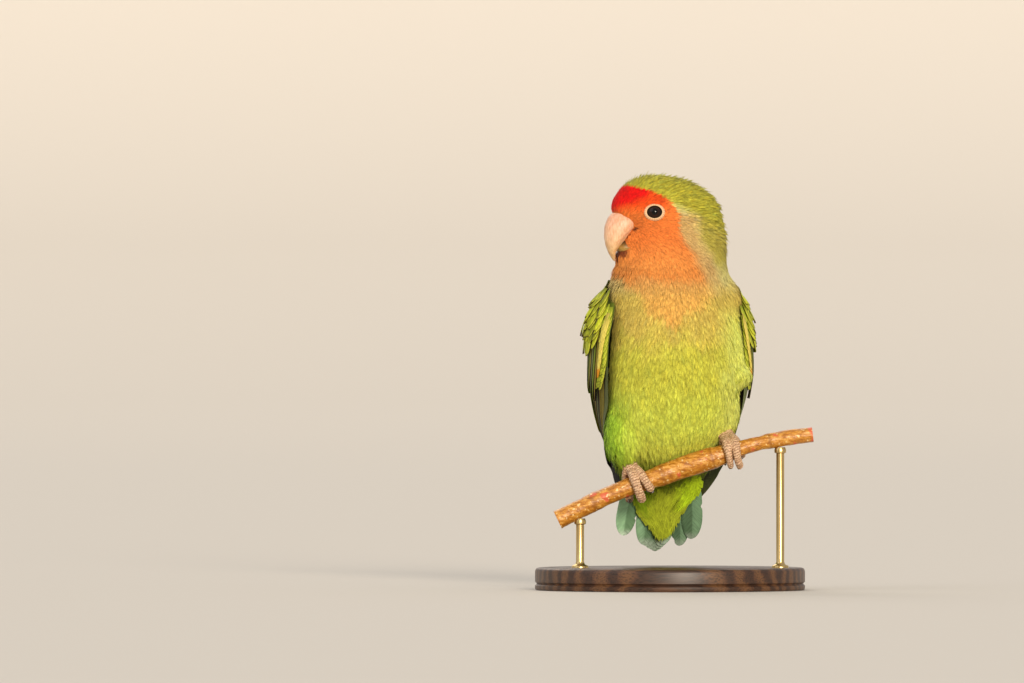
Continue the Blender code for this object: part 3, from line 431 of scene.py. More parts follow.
# %% [markdown]
# ## Skin
# A feathered bird's skin is never seen, but it carries the coat and shades what little shows between
# feathers. A sphere is pulled onto the sections. Egg shapes are added for thighs, shoulders, flank, chin,
# the corners of the mouth and forehead. A voxel remesh makes them one closed surface without seams. It then
# shrinks by the depth of the coat: 0.8 mm on the face, where the feathers are short and lie flat, and 1.5
# mm on the trunk.

# %% Build the skin
TRUNK_SHARE = 0.82  # how far up the sphere the brow lies
PINCHED = 0.02  # over this share at its bottom the sphere closes
SKIN_OFF_PERCH = 0.5
LOBES = (  # middle, radii, facing and lean
    (of_bird((-18.7, 0.5, 62.3)), (8.3, 10.0, 13.7), BODY_YAW, 0.0),  # thighs
    (of_bird((20.6, 1.0, 72.5)), (8.6, 10.0, 14.0), BODY_YAW, 0.0),
    (of_bird((-17.9, -6.0, 116.5)), (8.6, 11.0, 9.5), BODY_YAW, 0.0),  # shoulders
    (of_bird((18.8, -6.0, 115.0)), (10.0, 11.5, 11.0), BODY_YAW, 0.0),
    (of_bird((20.8, -7.0, 101.0)), (8.6, 9.0, 16.0), BODY_YAW, -6.0),  # flank, lapping over the left wing
    (of_bird((23.4, -5.8, 90.5)), (8.0, 8.0, 7.5), BODY_YAW, 0.0),
    (of_bird((24.8, -5.5, 85.2)), (8.6, 8.0, 5.2), BODY_YAW, 0.0),
    (of_head(17.4, 0.0, 133.2), (6.5, 5.5, 5.2), HEAD_YAW, 0.0),  # chin
    (of_head(14.6, 0.0, 140.6), (7.9, 6.2, 5.2), HEAD_YAW, 0.0),  # corners of the mouth
    (of_head(17.0, 0.0, 152.6), (8.0, 7.2, 8.3), HEAD_YAW, 0.0))  # forehead


def coat_depth(points):
    return 1.5 - 0.7 * ease(points[:, 2], 118.0, 140.0)


bm = bmesh.new()
bmesh.ops.create_uvsphere(bm, u_segments=120, v_segments=150, radius=1.0)
ball = np.array([v.co for v in bm.verts])
share = 1 - np.arccos(np.clip(ball[:, 2], -1, 1)) / math.pi
dome_share = np.clip((share - TRUNK_SHARE) / (1 - TRUNK_SHARE), 0, 1)
z = np.where(share < TRUNK_SHARE, TRUNK_FOOT + (BROW_Z - TRUNK_FOOT) * share / TRUNK_SHARE,
             BROW_Z + (CROWN_Z - BROW_Z) * np.sin(math.pi / 2 * dome_share))
shape = body_surface(z, np.arctan2(ball[:, 1], ball[:, 0]))
middle = sections_at(z)[0]
pinch = np.sin(np.clip(share / PINCHED, 0, 1) * math.pi / 2)[:, None]
shape[:, :2] = middle[:, :2] + (shape[:, :2] - middle[:, :2]) * pinch
put_verts(bm, shape)
for spot, radii, facing, lean in LOBES:
    where = (Matrix.Translation(Vector(spot) * MM) @ Matrix.Rotation(facing, 4, "Z")
             @ Matrix.Rotation(math.radians(lean), 4, "Y") @ Matrix.Diagonal((*[r * MM for r in radii], 1.0)))
    bmesh.ops.create_icosphere(bm, subdivisions=4, radius=1.0, matrix=where)
skin_mesh = even_mesh(to_mesh(bm), 0.85, 10)
points = places(skin_mesh)
points -= read(skin_mesh.vertices, "normal") * coat_depth(points)[:, None]
middle, thick = perch_at(perch_share(points[:, 0]))
off = points - middle
off[:, 0] = 0
distance, least = np.linalg.norm(off, axis=1), thick + SKIN_OFF_PERCH
inside = distance < least
points[inside] += off[inside] * (least[inside] / distance[inside] - 1)[:, None]
put_places(skin_mesh, points)
print("skin:", len(skin_mesh.vertices), "points")

# %% [markdown]
# ## Markings
# The skin and every feather take their colour from one function of place, so they always agree. It follows
# the species: scarlet forehead, orange-rose face, a paler bib that ends in a soft point on the breast,
# sandy tones where rose meets green on the neck, an olive-green crown, a body that goes from gold-green on
# the breast to lime below, and a blue rump. Light and shade are painted in as well: the flank on the lit side
# is painted paler, the thigh on the shaded side is leaf green painted darker, the chin has a painted shadow
# under the bill's tip, and the corners of the mouth have painted shade. Soft noise moves the borders, so none
# is a clean line.

# %% Colours of the plumage
LIGHT = np.array([1.12, 1.1, 1.05])  # what the lamps below make of white


def tints(codes):
    """The plumage's own linear colours from sRGB hex values of how it looks in this light."""
    return {name: linear(code) / LIGHT for name, code in codes.items()}


TINT = tints({
    # chin is a painted shadow under the bill's tip, on the feathers of the chin
    "forehead": "#f90d06", "brow": "#ff5812", "cheek": "#ff8939", "throat": "#ffa24b", "chin_shadow": "#84401a",
    "bib": "#ffc45f", "crown": "#c4bd3c", "nape": "#c6b74c", "ear": "#e4bb73", "collar": "#f9f0a1",
    # flank is painted paler for the lit side, and thigh darker for the shaded side
    "breast": "#ecd061", "belly": "#e3e14e", "low": "#eff85d", "thigh": "#afda34", "lit_flank": "#f6fc77",
    "vent": "#93a722", "mantle": "#8b9a2e", "rump": "#2f90b6",
})
# the corners of the mouth get a darker copy of that painted shadow: painted shade in the gape
TINT["gape_shade"] = TINT["chin_shadow"] * 0.6
FACE_EDGE = ((118.0, -9.6), (128.8, -5.8), (134.0, -4.4), (138.0, -1.2), (144.0, 0.6), (150.0, 0.2),
             (152.5, 1.6), (156.0, 4.6), (158.8, 9.0), (160.3, 13.5), (162.3, 20.0), (163.2, 26.0))
RED_EDGE = ((8.0, 160.5), (12.1, 157.7), (16.2, 155.4), (21.5, 153.0), (24.0, 152.6))
BILL_EDGE = ((131.0, 22.7), (136.6, 22.4), (141.2, 18.9), (144.2, 15.8))
BIB_LEFT = ((103.2, 1.2), (105.8, -3.8), (112.0, -10.0), (118.4, -15.0), (122.0, -16.4), (124.4, -21.2),
            (126.0, -34.0))
BIB_RIGHT = ((103.2, 1.2), (105.8, 3.6), (110.8, 10.0), (115.8, 15.0), (122.0, 17.5), (125.8, 15.0),
             (130.8, 12.4))


def layered(ground, *layers):
    """Colours laid one over another, each with its share at every point."""
    colour = TINT[ground]
    for name, share in layers:
        colour = mix(colour, TINT[name], share)
    return colour


def edge_at(at, edge):
    """The value of a border, given as pairs of numbers, at each place along it."""
    return np.interp(at, *np.array(edge).T)


def marking(points):
    """The colour of the plumage at each point of the coat."""
    jitter, ragged = wander(points, 5.0, 1), wander(points, 1.4, 2)
    own = turned(points, -BODY_YAW)
    x, z = points[:, 0], points[:, 2]
    behind_middle = own[:, 1] - through(BODY_SECTIONS, z)[:, 1]
    front = 1 - ease(behind_middle, -3.0, 10.0)
    rump = ease(behind_middle + 0.25 * np.maximum(0, 60 - z), 4.0, 9.0) * (1 - ease(z, 60.0, 70.0))
    # The bib has a soft, uneven border
    left = edge_at(z, BIB_LEFT)
    wobble = 2.2 * jitter + 1.1 * ragged + 3.0 * wander(points, 9.0, 3)
    bib = ease(x - left + wobble, -3.0, 4.0) * ease(edge_at(z, BIB_RIGHT) - x + wobble, -3.4, 5.0)
    bib *= ease(z + wobble, 101.5, 106.5) * ease(-own[:, 1], -4.0, 6.0)
    # On the head lie olive crown and nape and sandy ear, then the face over them
    ahead, _ = head_frame(points)
    up = ease(z + 2 * jitter, 114.0, 127.0)
    behind = edge_at(z, FACE_EDGE) - ahead
    soft = 0.9 + 2.4 * (1 - ease(z, 130.0, 152.0))
    face = ease(-behind + 0.7 * jitter + 0.7 * ragged, -soft, soft) * ease(z + 2 * jitter, 117.0, 125.0)
    face *= ease(x - left + wobble, -2.5, 2.5)
    above = z - edge_at(ahead, RED_EDGE) + 0.7 * jitter + 0.6 * ragged
    # painted shade along the bill's edge at the corners of the mouth
    gape_shade = 1 - ease(np.abs(ahead + 0.2 - edge_at(z, BILL_EDGE)), 0.2, 0.9)
    colour = layered(
        "mantle",
        ("belly", front),
        ("breast", front * ease(z + 6 * jitter, 88.0, 108.0)),
        ("low", front * (1 - ease(z + 4 * jitter, 66.0, 86.0))),
        # the flank on the lit side only: its own yellow-green, painted paler as painted light
        ("lit_flank", front * ease(own[:, 0] + 3 * jitter, 12.0, 24.0) * (1 - ease(z, 104.0, 116.0))),
        # the thigh on the shaded side only: its own leaf green, painted darker as painted shade
        ("thigh", front * ease(-x + 3 * jitter, 12.0, 23.0) * (1 - ease(z, 66.0, 84.0))),
        ("vent", front * (1 - ease(z, 46.0, 56.0))),
        ("rump", rump),
        ("bib", bib),
        ("collar", up * (1 - bib * (1 - ease(z, 120.0, 127.0)))),
        ("nape", ease(behind + 3 * jitter, 2.0, 11.0) * ease(z, 120.0, 133.0)),
        ("ear", up * (1 - ease(behind + 2 * jitter, 4.0, 11.0)) * (1 - ease(z, 148.0, 153.0))),
        ("crown", ease(z + 0.5 * behind, 149.5, 157.0)))
    tone = layered(
        "cheek",
        ("throat", 1 - ease(z, 126.0, 143.0)),
        ("bib", 1 - ease(z, 114.0, 125.0)),
        ("brow", ease(z + ragged, 149.0, 155.5) * ease(ahead, 2.0, 8.0)),
        ("forehead", ease(above, -1.8, 2.0) * ease(ahead, 8.0, 13.5)),
        # painted shadow of the bill on the chin feathers under its tip
        ("chin_shadow", ease(ahead, 17.8, 20.2) * (1 - ease(np.abs(z - 134.8), 1.8, 3.6))),
        ("gape_shade", 0.9 * gape_shade * ease(z, 139.8, 141.2) * (1 - ease(z, 144.2, 145.0))))
    return mix(colour, tone, face)


# the skin takes 0.8 of the markings: painted shade for what shows between the feathers
note(skin_mesh, "plumage", marking(points) * 0.8, "FLOAT_COLOR")
finish_piece("skin", skin_mesh, soft_plumage, "green_plumage",
             "torso", "neck", "head", "thigh_left", "thigh_right")

# %% [markdown]
# ## A coat, feather by feather
# A contour feather is a soft vane whose barbs part at the tip. Particle hair would be lost on export, so
# each is a small closed mesh: a fan of ridges with a toothed rim, welded to an underside. A circle operator
# makes the fan and the rim is pulled into a feather's outline. A few variants are made once, and arrays of
# places on the skin lay thousands of copies of them along the lie of the coat, in one joined mesh per
# region of the body. Loose barbs scatter light as one soft mass, so each feather's normals are blended with
# those of the skin below.

# %% Patterns for a soft feather
def tuft_pattern(teeth, split, seed):
    """Places (length share, width share, height share) and faces of one small feather."""
    roll = np.random.RandomState(seed)
    rim = [(180.0, 1.0), (138.0, 0.8), (104.0, 0.95)]
    step = 84.0 / (teeth + 0.5)
    for k in range(teeth):
        turn = 88.0 - step * (k + 0.5)
        rim.append((turn + roll.uniform(-2, 2), roll.uniform(0.86, 1.08)))
        rim.append((turn - step / 2 + roll.uniform(-1.5, 1.5), roll.uniform(split, split + 0.18)))
    left = rim[1:]
    tip = (0.0, roll.uniform(1.0, 1.12))
    ring = [rim[0]] + left + [tip] + [(-a, s * roll.uniform(0.92, 1.05)) for a, s in left[::-1]]
    bm = bmesh.new()
    bmesh.ops.create_circle(bm, cap_ends=True, cap_tris=True, segments=len(ring), radius=1.0)
    middle = max(bm.verts, key=lambda v: len(v.link_faces))
    around = sorted((v for v in bm.verts if v is not middle), key=lambda v: -math.atan2(v.co.y, v.co.x))
    for vert, (turn, scale) in zip(around, ring):
        a = math.radians(turn)
        length = (0.7 if abs(turn) < 100 else 0.3) * math.cos(a)
        notch = scale < 0.85 and abs(turn) < 100
        vert.co = (0.3 + length * scale, math.sin(a) * scale, -0.35 if notch else 0.0)
    middle.co = (0.34, 0.0, 1.0)
    under = bmesh.ops.duplicate(bm, geom=bm.verts[:] + bm.edges[:] + bm.faces[:])["geom"]
    for vert in {v for g in under if isinstance(g, bmesh.types.BMFace) for v in g.verts if v.co.z > 0.5}:
        vert.co.z = -0.5
    bmesh.ops.remove_doubles(bm, verts=bm.verts, dist=0.001)
    bmesh.ops.recalc_face_normals(bm, faces=bm.faces)
    bm.verts.index_update()
    spots = np.array([v.co for v in bm.verts])
    faces = np.array([[v.index for v in f.verts] for f in bm.faces])
    bm.free()
    return spots, faces


SOFT = [tuft_pattern(5, 0.46, seed) for seed in range(6)]
TINY = [tuft_pattern(3, 0.5, seed + 20) for seed in range(5)]
print("faces of one soft feather:", len(SOFT[0][1]), "and of a tiny one:", len(TINY[0][1]))


# %% A coat that gathers feathers and becomes pieces
class Coat:
    """Feathers of one region, gathered as arrays and then made one mesh."""

    def __init__(self):
        self.faces, self.count = [], 0
        self.rows = {"place": [], "colour": [], "patch": [], "up": [], "barb": []}

    def lay(self, faces, **values):
        """Each value is (feathers, vertices, numbers). patch lies in the unit square."""
        feathers, each = values["place"].shape[:2]
        start = self.count + each * np.arange(feathers)
        self.faces.append((faces[None] + start[:, None, None]).reshape(-1, faces.shape[1]))
        for key, value in values.items():
            full = np.broadcast_to(value, (feathers, each, value.shape[-1]))
            self.rows[key].append(full.reshape(-1, full.shape[-1]))
        self.count += feathers * each

    def weave(self, name, finish, slot, *nodes, soften=0.6):
        rows = {key: np.concatenate(value) for key, value in self.rows.items()}
        mesh = bpy.data.meshes.new(name)
        faces = [face for block in self.faces for face in block.tolist()]
        mesh.from_pydata((rows["place"] * MM).tolist(), [], faces)
        note(mesh, "plumage", np.clip(rows["colour"], 0, 1), "FLOAT_COLOR")
        note(mesh, "barb", rows["barb"], "FLOAT_VECTOR")
        corner = read(mesh.loops, "vertex_index", 1, int)
        mesh.uv_layers.new(name="OFBake").data.foreach_set("uv", np.clip(rows["patch"][corner], 0, 1).ravel())
        mesh.shade_smooth()
        facing = np.repeat(read(mesh.polygons, "normal"), read(mesh.polygons, "loop_total", 1, int), axis=0)
        own = read(mesh.vertices, "normal")[corner]
        own = np.where((dot(own, facing) > 0.5)[:, None], own, facing)
        up = rows["up"][corner]
        up = up * np.sign(dot(facing, up))[:, None]
        mesh.normals_split_custom_set(unit(own * (1 - soften) + up * soften).tolist())
        return finish_piece(name, mesh, finish, slot, *nodes, smooth=False)


# %% [markdown]
# ## The lie of the coat
# Feathers point away from the bill over the head, then down the trunk to the tail, part round the eye, and
# fan out a little over the breast. The field is a direction for each place, pressed flat onto the skin.

# %% Bill base, eyes and the flow of the feathers
EYE_AHEAD, EYE_Z, EYE_RADIUS, LID_RADIUS = 11.0, 151.0, 3.4, 3.85
EYE_SUNK = 2.15  # how far the ball's middle lies under the head's surface
EYE_TALL = 0.86  # how tall the lids' opening is for its length
BILL_BASE = of_head(19.0, 0.0, 147.5)
SIDES = (("left", 1), ("right", -1))


def eye_place(sign):
    """The eye's middle on the head's surface, and the way it looks. sign is 1 on the bird's left."""
    _, facts = sections_at(EYE_Z)
    ahead_reach = radius(facts, np.array([HEAD_YAW - math.pi / 2]))[0]
    side = facts[1][0, 0] * (1 - (EYE_AHEAD / ahead_reach) ** HEAD_SQUARE) ** (1 / HEAD_SQUARE)
    surface = of_head(EYE_AHEAD, side * sign, EYE_Z)
    return surface, unit(of_head(EYE_AHEAD + 4.6, (side + 10.0) * sign, EYE_Z + 1.2) - surface)


EYES = {side: eye_place(sign) for side, sign in SIDES}


def from_eye(points):
    """Distance from the nearer eye, stretched so that the lids' rim is a circle."""
    found = []
    for surface, look in EYES.values():
        off = (points - surface) @ np.array(Vector(look).to_track_quat("Z", "Y").to_matrix())
        found.append(np.sqrt(off[..., 0] ** 2 + (off[..., 1] / EYE_TALL) ** 2 + off[..., 2] ** 2))
    return np.min(found, 0)


def flow(points, upward):
    """The way that feathers lie at points of the skin whose normals are upward."""
    own = turned(points, -BODY_YAW)
    down = np.tile((0.0, 0.0, -1.0), (len(points), 1))
    fan = ease(points[:, 2], 70.0, 90.0) * (1 - ease(points[:, 2], 112.0, 126.0))
    fan = fan * ease(-own[:, 1], 0.0, 14.0)
    tail_end = 1 - ease(points[:, 2], 40.0, 62.0)
    spread_by = own[:, 0] * (0.016 * fan - 0.03 * tail_end)
    down += turned(np.stack([spread_by, 0.5 * tail_end, 0 * fan], -1), BODY_YAW)
    head = ease(points[:, 2], 119.0, 143.0)[:, None]
    way = unit(down) * (1 - head) + (unit(points - BILL_BASE) + np.array([0.0, 0.0, -0.15])) * head
    for surface, _ in EYES.values():
        near = (1 - ease(np.linalg.norm(surface - points, axis=1), 4.2, 8.0))[:, None]
        to_eye = unit(surface - points)
        way = way - to_eye * np.maximum(dot(way, to_eye), 0)[:, None] * near * 1.15
    return unit(way - upward * dot(way, upward)[:, None])


# %% [markdown]
# ## Where feathers grow
# Roots are scattered by area and thinned so that none is nearer to another than its region's spacing, which
# is less than a quarter of a feather's length: that is what makes them overlap like tiles, eight deep.
# Roots under the bill, the folded wings or the perch are left out, and a feather that would run into one of
# those is cut short. The wings' base surface, on which all their feathers lie, is worked out first for the
# same reason.

# %% Wings' base surface
WING_LOWER = ((23.0, -17.0, 119.0), (26.6, -13.5, 105.0), (28.0, -9.5, 90.0), (27.2, -2.0, 76.0),
              (24.8, 8.0, 62.0), (20.6, 22.0, 48.0), (13.6, 36.0, 33.0))
WING_UPPER = ((12.0, 16.0, 123.0), (14.0, 21.5, 109.0), (12.8, 24.4, 93.0), (10.0, 27.4, 78.0),
              (7.6, 30.4, 62.0), (7.4, 34.2, 48.0), (10.2, 37.6, 35.0))
WING_BULGE = {1: (6.4, 10.6, 12.6, 12.0, 7.6, 2.8, 0.8), -1: (6.4, 10.8, 10.2, 10.4, 8.2, 3.0, 0.8)}
WING_OUT = {1: (2.2, 0.0), -1: (-0.9, -1.4)}
SHOULDER, WRIST = 0.16, 0.44  # over this share of its length the wing is rounded in, to this place across it
WING_CLEAR = 1.3  # how far its base surface stays off the body


def held_out(t, sign):
    """How far each wing's lower edge is held away from the body, and its tip in towards the tail."""
    return WING_OUT[sign][0] * ease(t, 0.2, 0.55) + WING_OUT[sign][1] * ease(t, 0.62, 0.88)


def wing_spot(t, s, sign):
    """A point of the folded wing's base: t from wrist to tip, s from its lower edge up."""
    out_by = held_out(t, sign)
    lower, upper = along(WING_LOWER, t), along(WING_UPPER, t)
    lower[:, 0] += out_by
    upper[:, 0] += out_by * 0.5
    across = unit(upper - lower)
    ahead = along(WING_LOWER, np.minimum(t + 0.02, 1.0)) - along(WING_LOWER, t - 0.02)
    ahead[:, 0] += held_out(np.minimum(t + 0.02, 1.0), sign) - held_out(t - 0.02, sign)
    out = unit(np.cross(across, ahead))
    out *= np.sign(out[:, :1])
    bulge = along([(b,) for b in WING_BULGE[sign]], t) * 4 * (s * (1 - s))[:, None]
    spot = lower + (upper - lower) * s[:, None] + out * bulge
    spot[:, 0] *= sign
    return off_body(of_bird(spot), WING_CLEAR)


def wing_surface(t, s, sign):
    """Points and outward normals of the folded wing's base surface."""
    t, s = np.broadcast_arrays(np.atleast_1d(np.asarray(t, float)), np.asarray(s, float))
    round_in = 1 - np.minimum(np.maximum(t, 0.002) / SHOULDER, 1.0)
    s = WRIST + (s - WRIST) * np.sqrt(1 - round_in**2)
    step = 0.02
    spot = wing_spot(t, s, sign)
    long_way = wing_spot(np.minimum(t + step, 1.0), s, sign) - wing_spot(t - step, s, sign)
    cross_way = wing_spot(t, s + step, sign) - wing_spot(t, s - step, sign)
    up = unit(np.cross(cross_way, long_way))
    outward = dot(up[:, :2], spot[:, :2])
    return spot, up * np.where(outward < 0, -1.0, 1.0)[:, None]


def wing_shell(sign, t_count=45, s_count=19):
    """The base surface as a grid of quads, without the strip along its lower edge."""
    t, s = np.meshgrid(np.linspace(0.05, 0.97, t_count), np.linspace(0.14, 0.97, s_count), indexing="ij")
    spot, _ = wing_surface(t.ravel(), s.ravel(), sign)
    quads = [(i * s_count + j, i * s_count + j + 1, (i + 1) * s_count + j + 1, (i + 1) * s_count + j)
             for i in range(t_count - 1) for j in range(s_count - 1)]
    return BVHTree.FromPolygons([Vector(p) for p in spot], quads)


LEG_TOP = 59.8  # above this the left leg goes in under the feathers


def nodes_tree(*names):
    points, faces = [], []
    for name in names:
        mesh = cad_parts[name].data
        start = len(points)
        points += [v.co / MM for v in mesh.vertices]
        faces += [tuple(start + v for v in face.vertices) for face in mesh.polygons
                  if name != "leg_left" or face.center.z < LEG_TOP * MM]
    return BVHTree.FromPolygons(points, faces)


wing_trees = [wing_shell(sign) for _, sign in SIDES]
hard_things = nodes_tree("bill_upper", "bill_lower", "eye_left", "eye_right", "perch", "leg_left", "leg_right",
                         *[f"claw_{s}_{k}" for s, _ in SIDES for k in range(1, 5)])
skin_tree = BVHTree.FromPolygons([Vector(p) for p in places(skin_mesh)],
                                 [tuple(p.vertices) for p in skin_mesh.polygons])
print("claws, legs and other hard things that feathers keep clear of are ready")


# %% Sizes by region, and the scatter of roots
ROOTS_TRIED = 150000
ROOM_OVER_ROOT, ROOM_UNDER_WING = 3.0, 14.0  # no root has a hard thing or a wing nearer above it than this
def feather_length(points):
    """A contour feather's length at each place, in millimetres."""
    ahead, _ = head_frame(points)
    z = points[:, 2]
    length = 5.8 - 2.0 * ease(z, 106.0, 128.0) - 1.2 * ease(z, 126.0, 142.0)
    length -= 0.7 * ease(ahead, 4.0, 15.0) * ease(z, 130.0, 140.0)
    return np.maximum(length - 0.4 * (1 - ease(from_eye(points), 4.0, 8.0)), 1.5)


def spacing(points):
    return 0.2 + 0.115 * feather_length(points)


def scatter(mesh, count):
    """Random places on a mesh, denser where feathers are short, thinned to an even spacing."""
    mesh.calc_loop_triangles()
    corners = places(mesh)[read(mesh.loop_triangles, "vertices", 3, int)]
    area = np.linalg.norm(np.cross(corners[:, 1] - corners[:, 0], corners[:, 2] - corners[:, 0]), axis=1) / 2
    weight = area / spacing(corners.mean(1)) ** 2
    pick = draw.choice(len(area), count, p=weight / weight.sum())
    a, b = draw.rand(2, count)
    swap = a + b > 1
    a[swap], b[swap] = 1 - a[swap], 1 - b[swap]
    c = corners[pick]
    spot = c[:, 0] + (c[:, 1] - c[:, 0]) * a[:, None] + (c[:, 2] - c[:, 0]) * b[:, None]
    space = spacing(spot)
    tree = KDTree(count)
    for i, p in enumerate(spot):
        tree.insert(p, i)
    tree.balance()
    alive = np.ones(count, bool)
    for i in range(count):
        if alive[i]:
            for _, j, _ in tree.find_range(spot[i], space[i]):
                if j != i:
                    alive[j] = False
    return spot[alive]


def on_skin(points):
    found = [skin_tree.find_nearest(p)[:2] for p in points]
    return np.array([f[0] for f in found]), np.array([f[1] for f in found])


def is_clear(root, up):
    if hard_things.ray_cast(Vector(root), Vector(up), ROOM_OVER_ROOT)[0]:
        return False
    return not any(tree.ray_cast(Vector(root), Vector(up), ROOM_UNDER_WING)[0] for tree in wing_trees)


roots, ups = on_skin(scatter(skin_mesh, ROOTS_TRIED))
keep = np.array([is_clear(r, u) for r, u in zip(roots, ups)]) & (from_eye(roots) > LID_RADIUS - 0.25)
roots, ups = roots[keep], ups[keep]
print("feathers on the skin:", len(roots))

# %% Tracks that the feathers follow
STATIONS = 4  # points along each track
length = feather_length(roots) * draw.uniform(0.85, 1.15, len(roots))
way = flow(roots, ups)
on_crown = ease(roots[:, 2] - 0.6 * head_frame(roots)[0], 142.0, 156.0)
way = unit(way + np.cross(ups, way) * draw.normal(0, 0.13 + 0.2 * on_crown)[:, None])
line, rise = [roots], [ups]
spot, up = roots, ups
for _ in range(STATIONS - 1):
    spot, up = on_skin(spot + way * (length / (STATIONS - 1))[:, None])
    way = unit(way + 0.6 * flow(spot, up))
    way = unit(way - up * dot(way, up)[:, None])
    line.append(spot)
    rise.append(up)
line, rise = np.stack(line, 1), np.stack(rise, 1)


def free_share(track, ups):
    """The share of a feather's track that is free of hard things."""
    for k in range(STATIONS - 1):
        a = track[k] + ups[k] * (0.5 + 0.2 * k)
        b = track[k + 1] + ups[k + 1] * (0.7 + 0.2 * k)
        step = Vector(b - a)
        hit = hard_things.ray_cast(Vector(a), step, step.length)
        if hit[0]:
            return (k + hit[3] / step.length) / (STATIONS - 1)
    return 1.0


fold = np.minimum(np.array([free_share(*pair) for pair in zip(line, rise)]) * 1.08, 1.0)
gap = from_eye(line.reshape(-1, 3)).reshape(line.shape[:2])
fold = np.minimum(fold, np.where(gap < LID_RADIUS - 0.35, np.arange(STATIONS) / (STATIONS - 1), 1.0).min(1))
ok = fold > 0.3
line, rise, fold, length, on_crown = line[ok], rise[ok], fold[ok], length[ok], on_crown[ok]
print("kept:", len(line), "cut short:", int((fold < 1).sum()))

# %% Lay the feathers
PATCH = 0.003  # how large a soft feather is on the texture sheet
profile = body_surface(np.linspace(TRUNK_FOOT, CROWN_Z, 400), np.zeros(400))
run = lengths_along(profile)


def patch_of(roots):
    """Where a root lies on the skin's unrolled shape: round it, and up its side."""
    middle, _ = sections_at(roots[:, 2])
    around = np.arctan2(roots[:, 1] - middle[:, 1], roots[:, 0] - middle[:, 0]) / math.tau + 0.5
    return np.stack([around, np.interp(roots[:, 2], profile[:, 2], run / run[-1])], -1)


def lay_tufts(coat, patterns, line, rise, width, lift, base, fold, contrast=0.22, keel=0.1):
    """Lays feathers on tracks. Each has a half width, a lift of its tip and a colour."""
    kind = draw.randint(0, len(patterns), len(line))
    patch_at, seed = patch_of(line[:, 0]), draw.uniform(0, 500, len(line))
    span = np.linalg.norm(line[:, -1] - line[:, 0], axis=1)
    for k, (spots, faces) in enumerate(patterns):
        at = np.flatnonzero(kind == k)
        if not len(at):
            continue
        u, v, h = spots.T
        f = u[None] * fold[at][:, None] * (STATIONS - 1)
        i = np.minimum(f.astype(int), STATIONS - 2)
        f = (f - i)[..., None]
        rows = np.arange(len(at))[:, None]
        centre = line[at][rows, i] * (1 - f) + line[at][rows, i + 1] * f
        up = unit(rise[at][rows, i] * (1 - f) + rise[at][rows, i + 1] * f)
        across = np.cross(up, unit(line[at][rows, i + 1] - line[at][rows, i]))
        half = width[at][:, None]
        high = keel + (lift[at][:, None] - keel) * u[None] ** 0.8 + h[None] * (0.06 * half + 0.05)
        shade = 1.02 - contrast * (1 - ease(u, 0.1, 0.95)) - 0.06 * (h < -0.1)
        barb = np.stack([u[None] * span[at][:, None], v[None] * half, seed[at][:, None] + 0 * u[None]], -1)
        patch = patch_at[at][:, None] + PATCH * np.stack([u - 0.5, v / 2], -1)[None]
        coat.lay(faces, place=centre + across * (v[None] * half)[..., None] + up * high[..., None],
                 colour=base[at][:, None] * shade[None, :, None], patch=patch, up=up, barb=barb)


def varied(points, amount):
    """The markings at points, with each feather a little lighter, darker or yellower than the next."""
    tone = (1 + draw.normal(0, 1, len(points)) * amount
            + 0.05 * wander(points, 4.0, 9) + 0.05 * wander(points, 11.0, 6))
    warm = draw.normal(0, 1, len(points))[:, None] * amount[:, None] * np.array([0.35, 0.1, -0.6])
    return marking(points) * (tone[:, None] + warm)


NECK_FOOT, HEAD_FOOT, BREAST_FOOT = 112.0, 131.0, 82.0  # heights at which regions meet
FACE_FROM, BACK_FROM = 3.0, 4.0  # ahead of the head's axis, and behind the body's
ahead, side = head_frame(line[:, 0])
z = line[:, 0, 2]
own = turned(line[:, 0], -BODY_YAW)
uneven = 0.04 + 0.04 * ease(own[:, 1], 14.0, 0.0) * (z < NECK_FOOT) + 0.11 * on_crown
base = varied((line[:, 2] + line[:, 3]) / 2, uneven)
smooth_head = z > 120
ruffle = (1 + (0.28 - 0.12 * smooth_head) * wander(line[:, 0], 6.0, 5)
          + draw.normal(0, 1, len(line)) * (0.13 - 0.05 * smooth_head))
ruffle = np.clip(ruffle, 0.5, 1.7)
throat = np.exp(-((line[:, 0] - of_head(21.0, -1.0, 127.0)) / (5.0, 9.0, 5.0)) ** 2).min(1)
loose_crown = 0.5 * np.abs(draw.normal(0, 1, len(line))) + 1.3 * (draw.rand(len(line)) < 0.1)
loose = on_crown * loose_crown + 1.1 * (1 - ease(z, 54.0, 68.0)) * draw.rand(len(line))
on_head, in_face = z > HEAD_FOOT, ahead > FACE_FROM
lift = coat_depth(line[:, 0]) * (ruffle * (0.95 - 0.15 * on_head * in_face + 0.9 * throat) + loose)
width = (0.1 + 0.155 * length) * draw.uniform(0.85, 1.15, len(line))
at_back = own[:, 1] >= BACK_FROM
REGIONS = {
    "plumage_face_left": on_head & in_face & (side > 0),
    "plumage_face_right": on_head & in_face & (side <= 0),
    "plumage_crown_left": on_head & ~in_face & (side > 0),
    "plumage_crown_right": on_head & ~in_face & (side <= 0),
    "plumage_neck": ~on_head & (z > NECK_FOOT),
    "plumage_breast": (z <= NECK_FOOT) & (z > BREAST_FOOT) & ~at_back,
    "plumage_belly": (z <= BREAST_FOOT) & ~at_back,
    "plumage_back": (z <= NECK_FOOT) & at_back,
}
for name, chosen in REGIONS.items():
    coat = Coat()
    of_region = [value[chosen] for value in (line, rise, width, lift, base, fold)]
    lay_tufts(coat, TINY if on_head[chosen].all() else SOFT, *of_region, 0.09 if "face" in name else 0.2)
    coat.weave(name, soft_plumage, "green_plumage")

# %% [markdown]
# ## Flight feathers
# A flight or tail feather is a stiff flat vane on a shaft. A grid is solidified into a slab, its rows are
# placed along a path and its columns across it: the outline narrows to the quill and rounds at the tip, the
# shaft is a low ridge, the vane bows a little, and one edge lies higher than the other, so that the next
# feather slides under it. Small random nicks in the edges are where barbs have come unzipped.

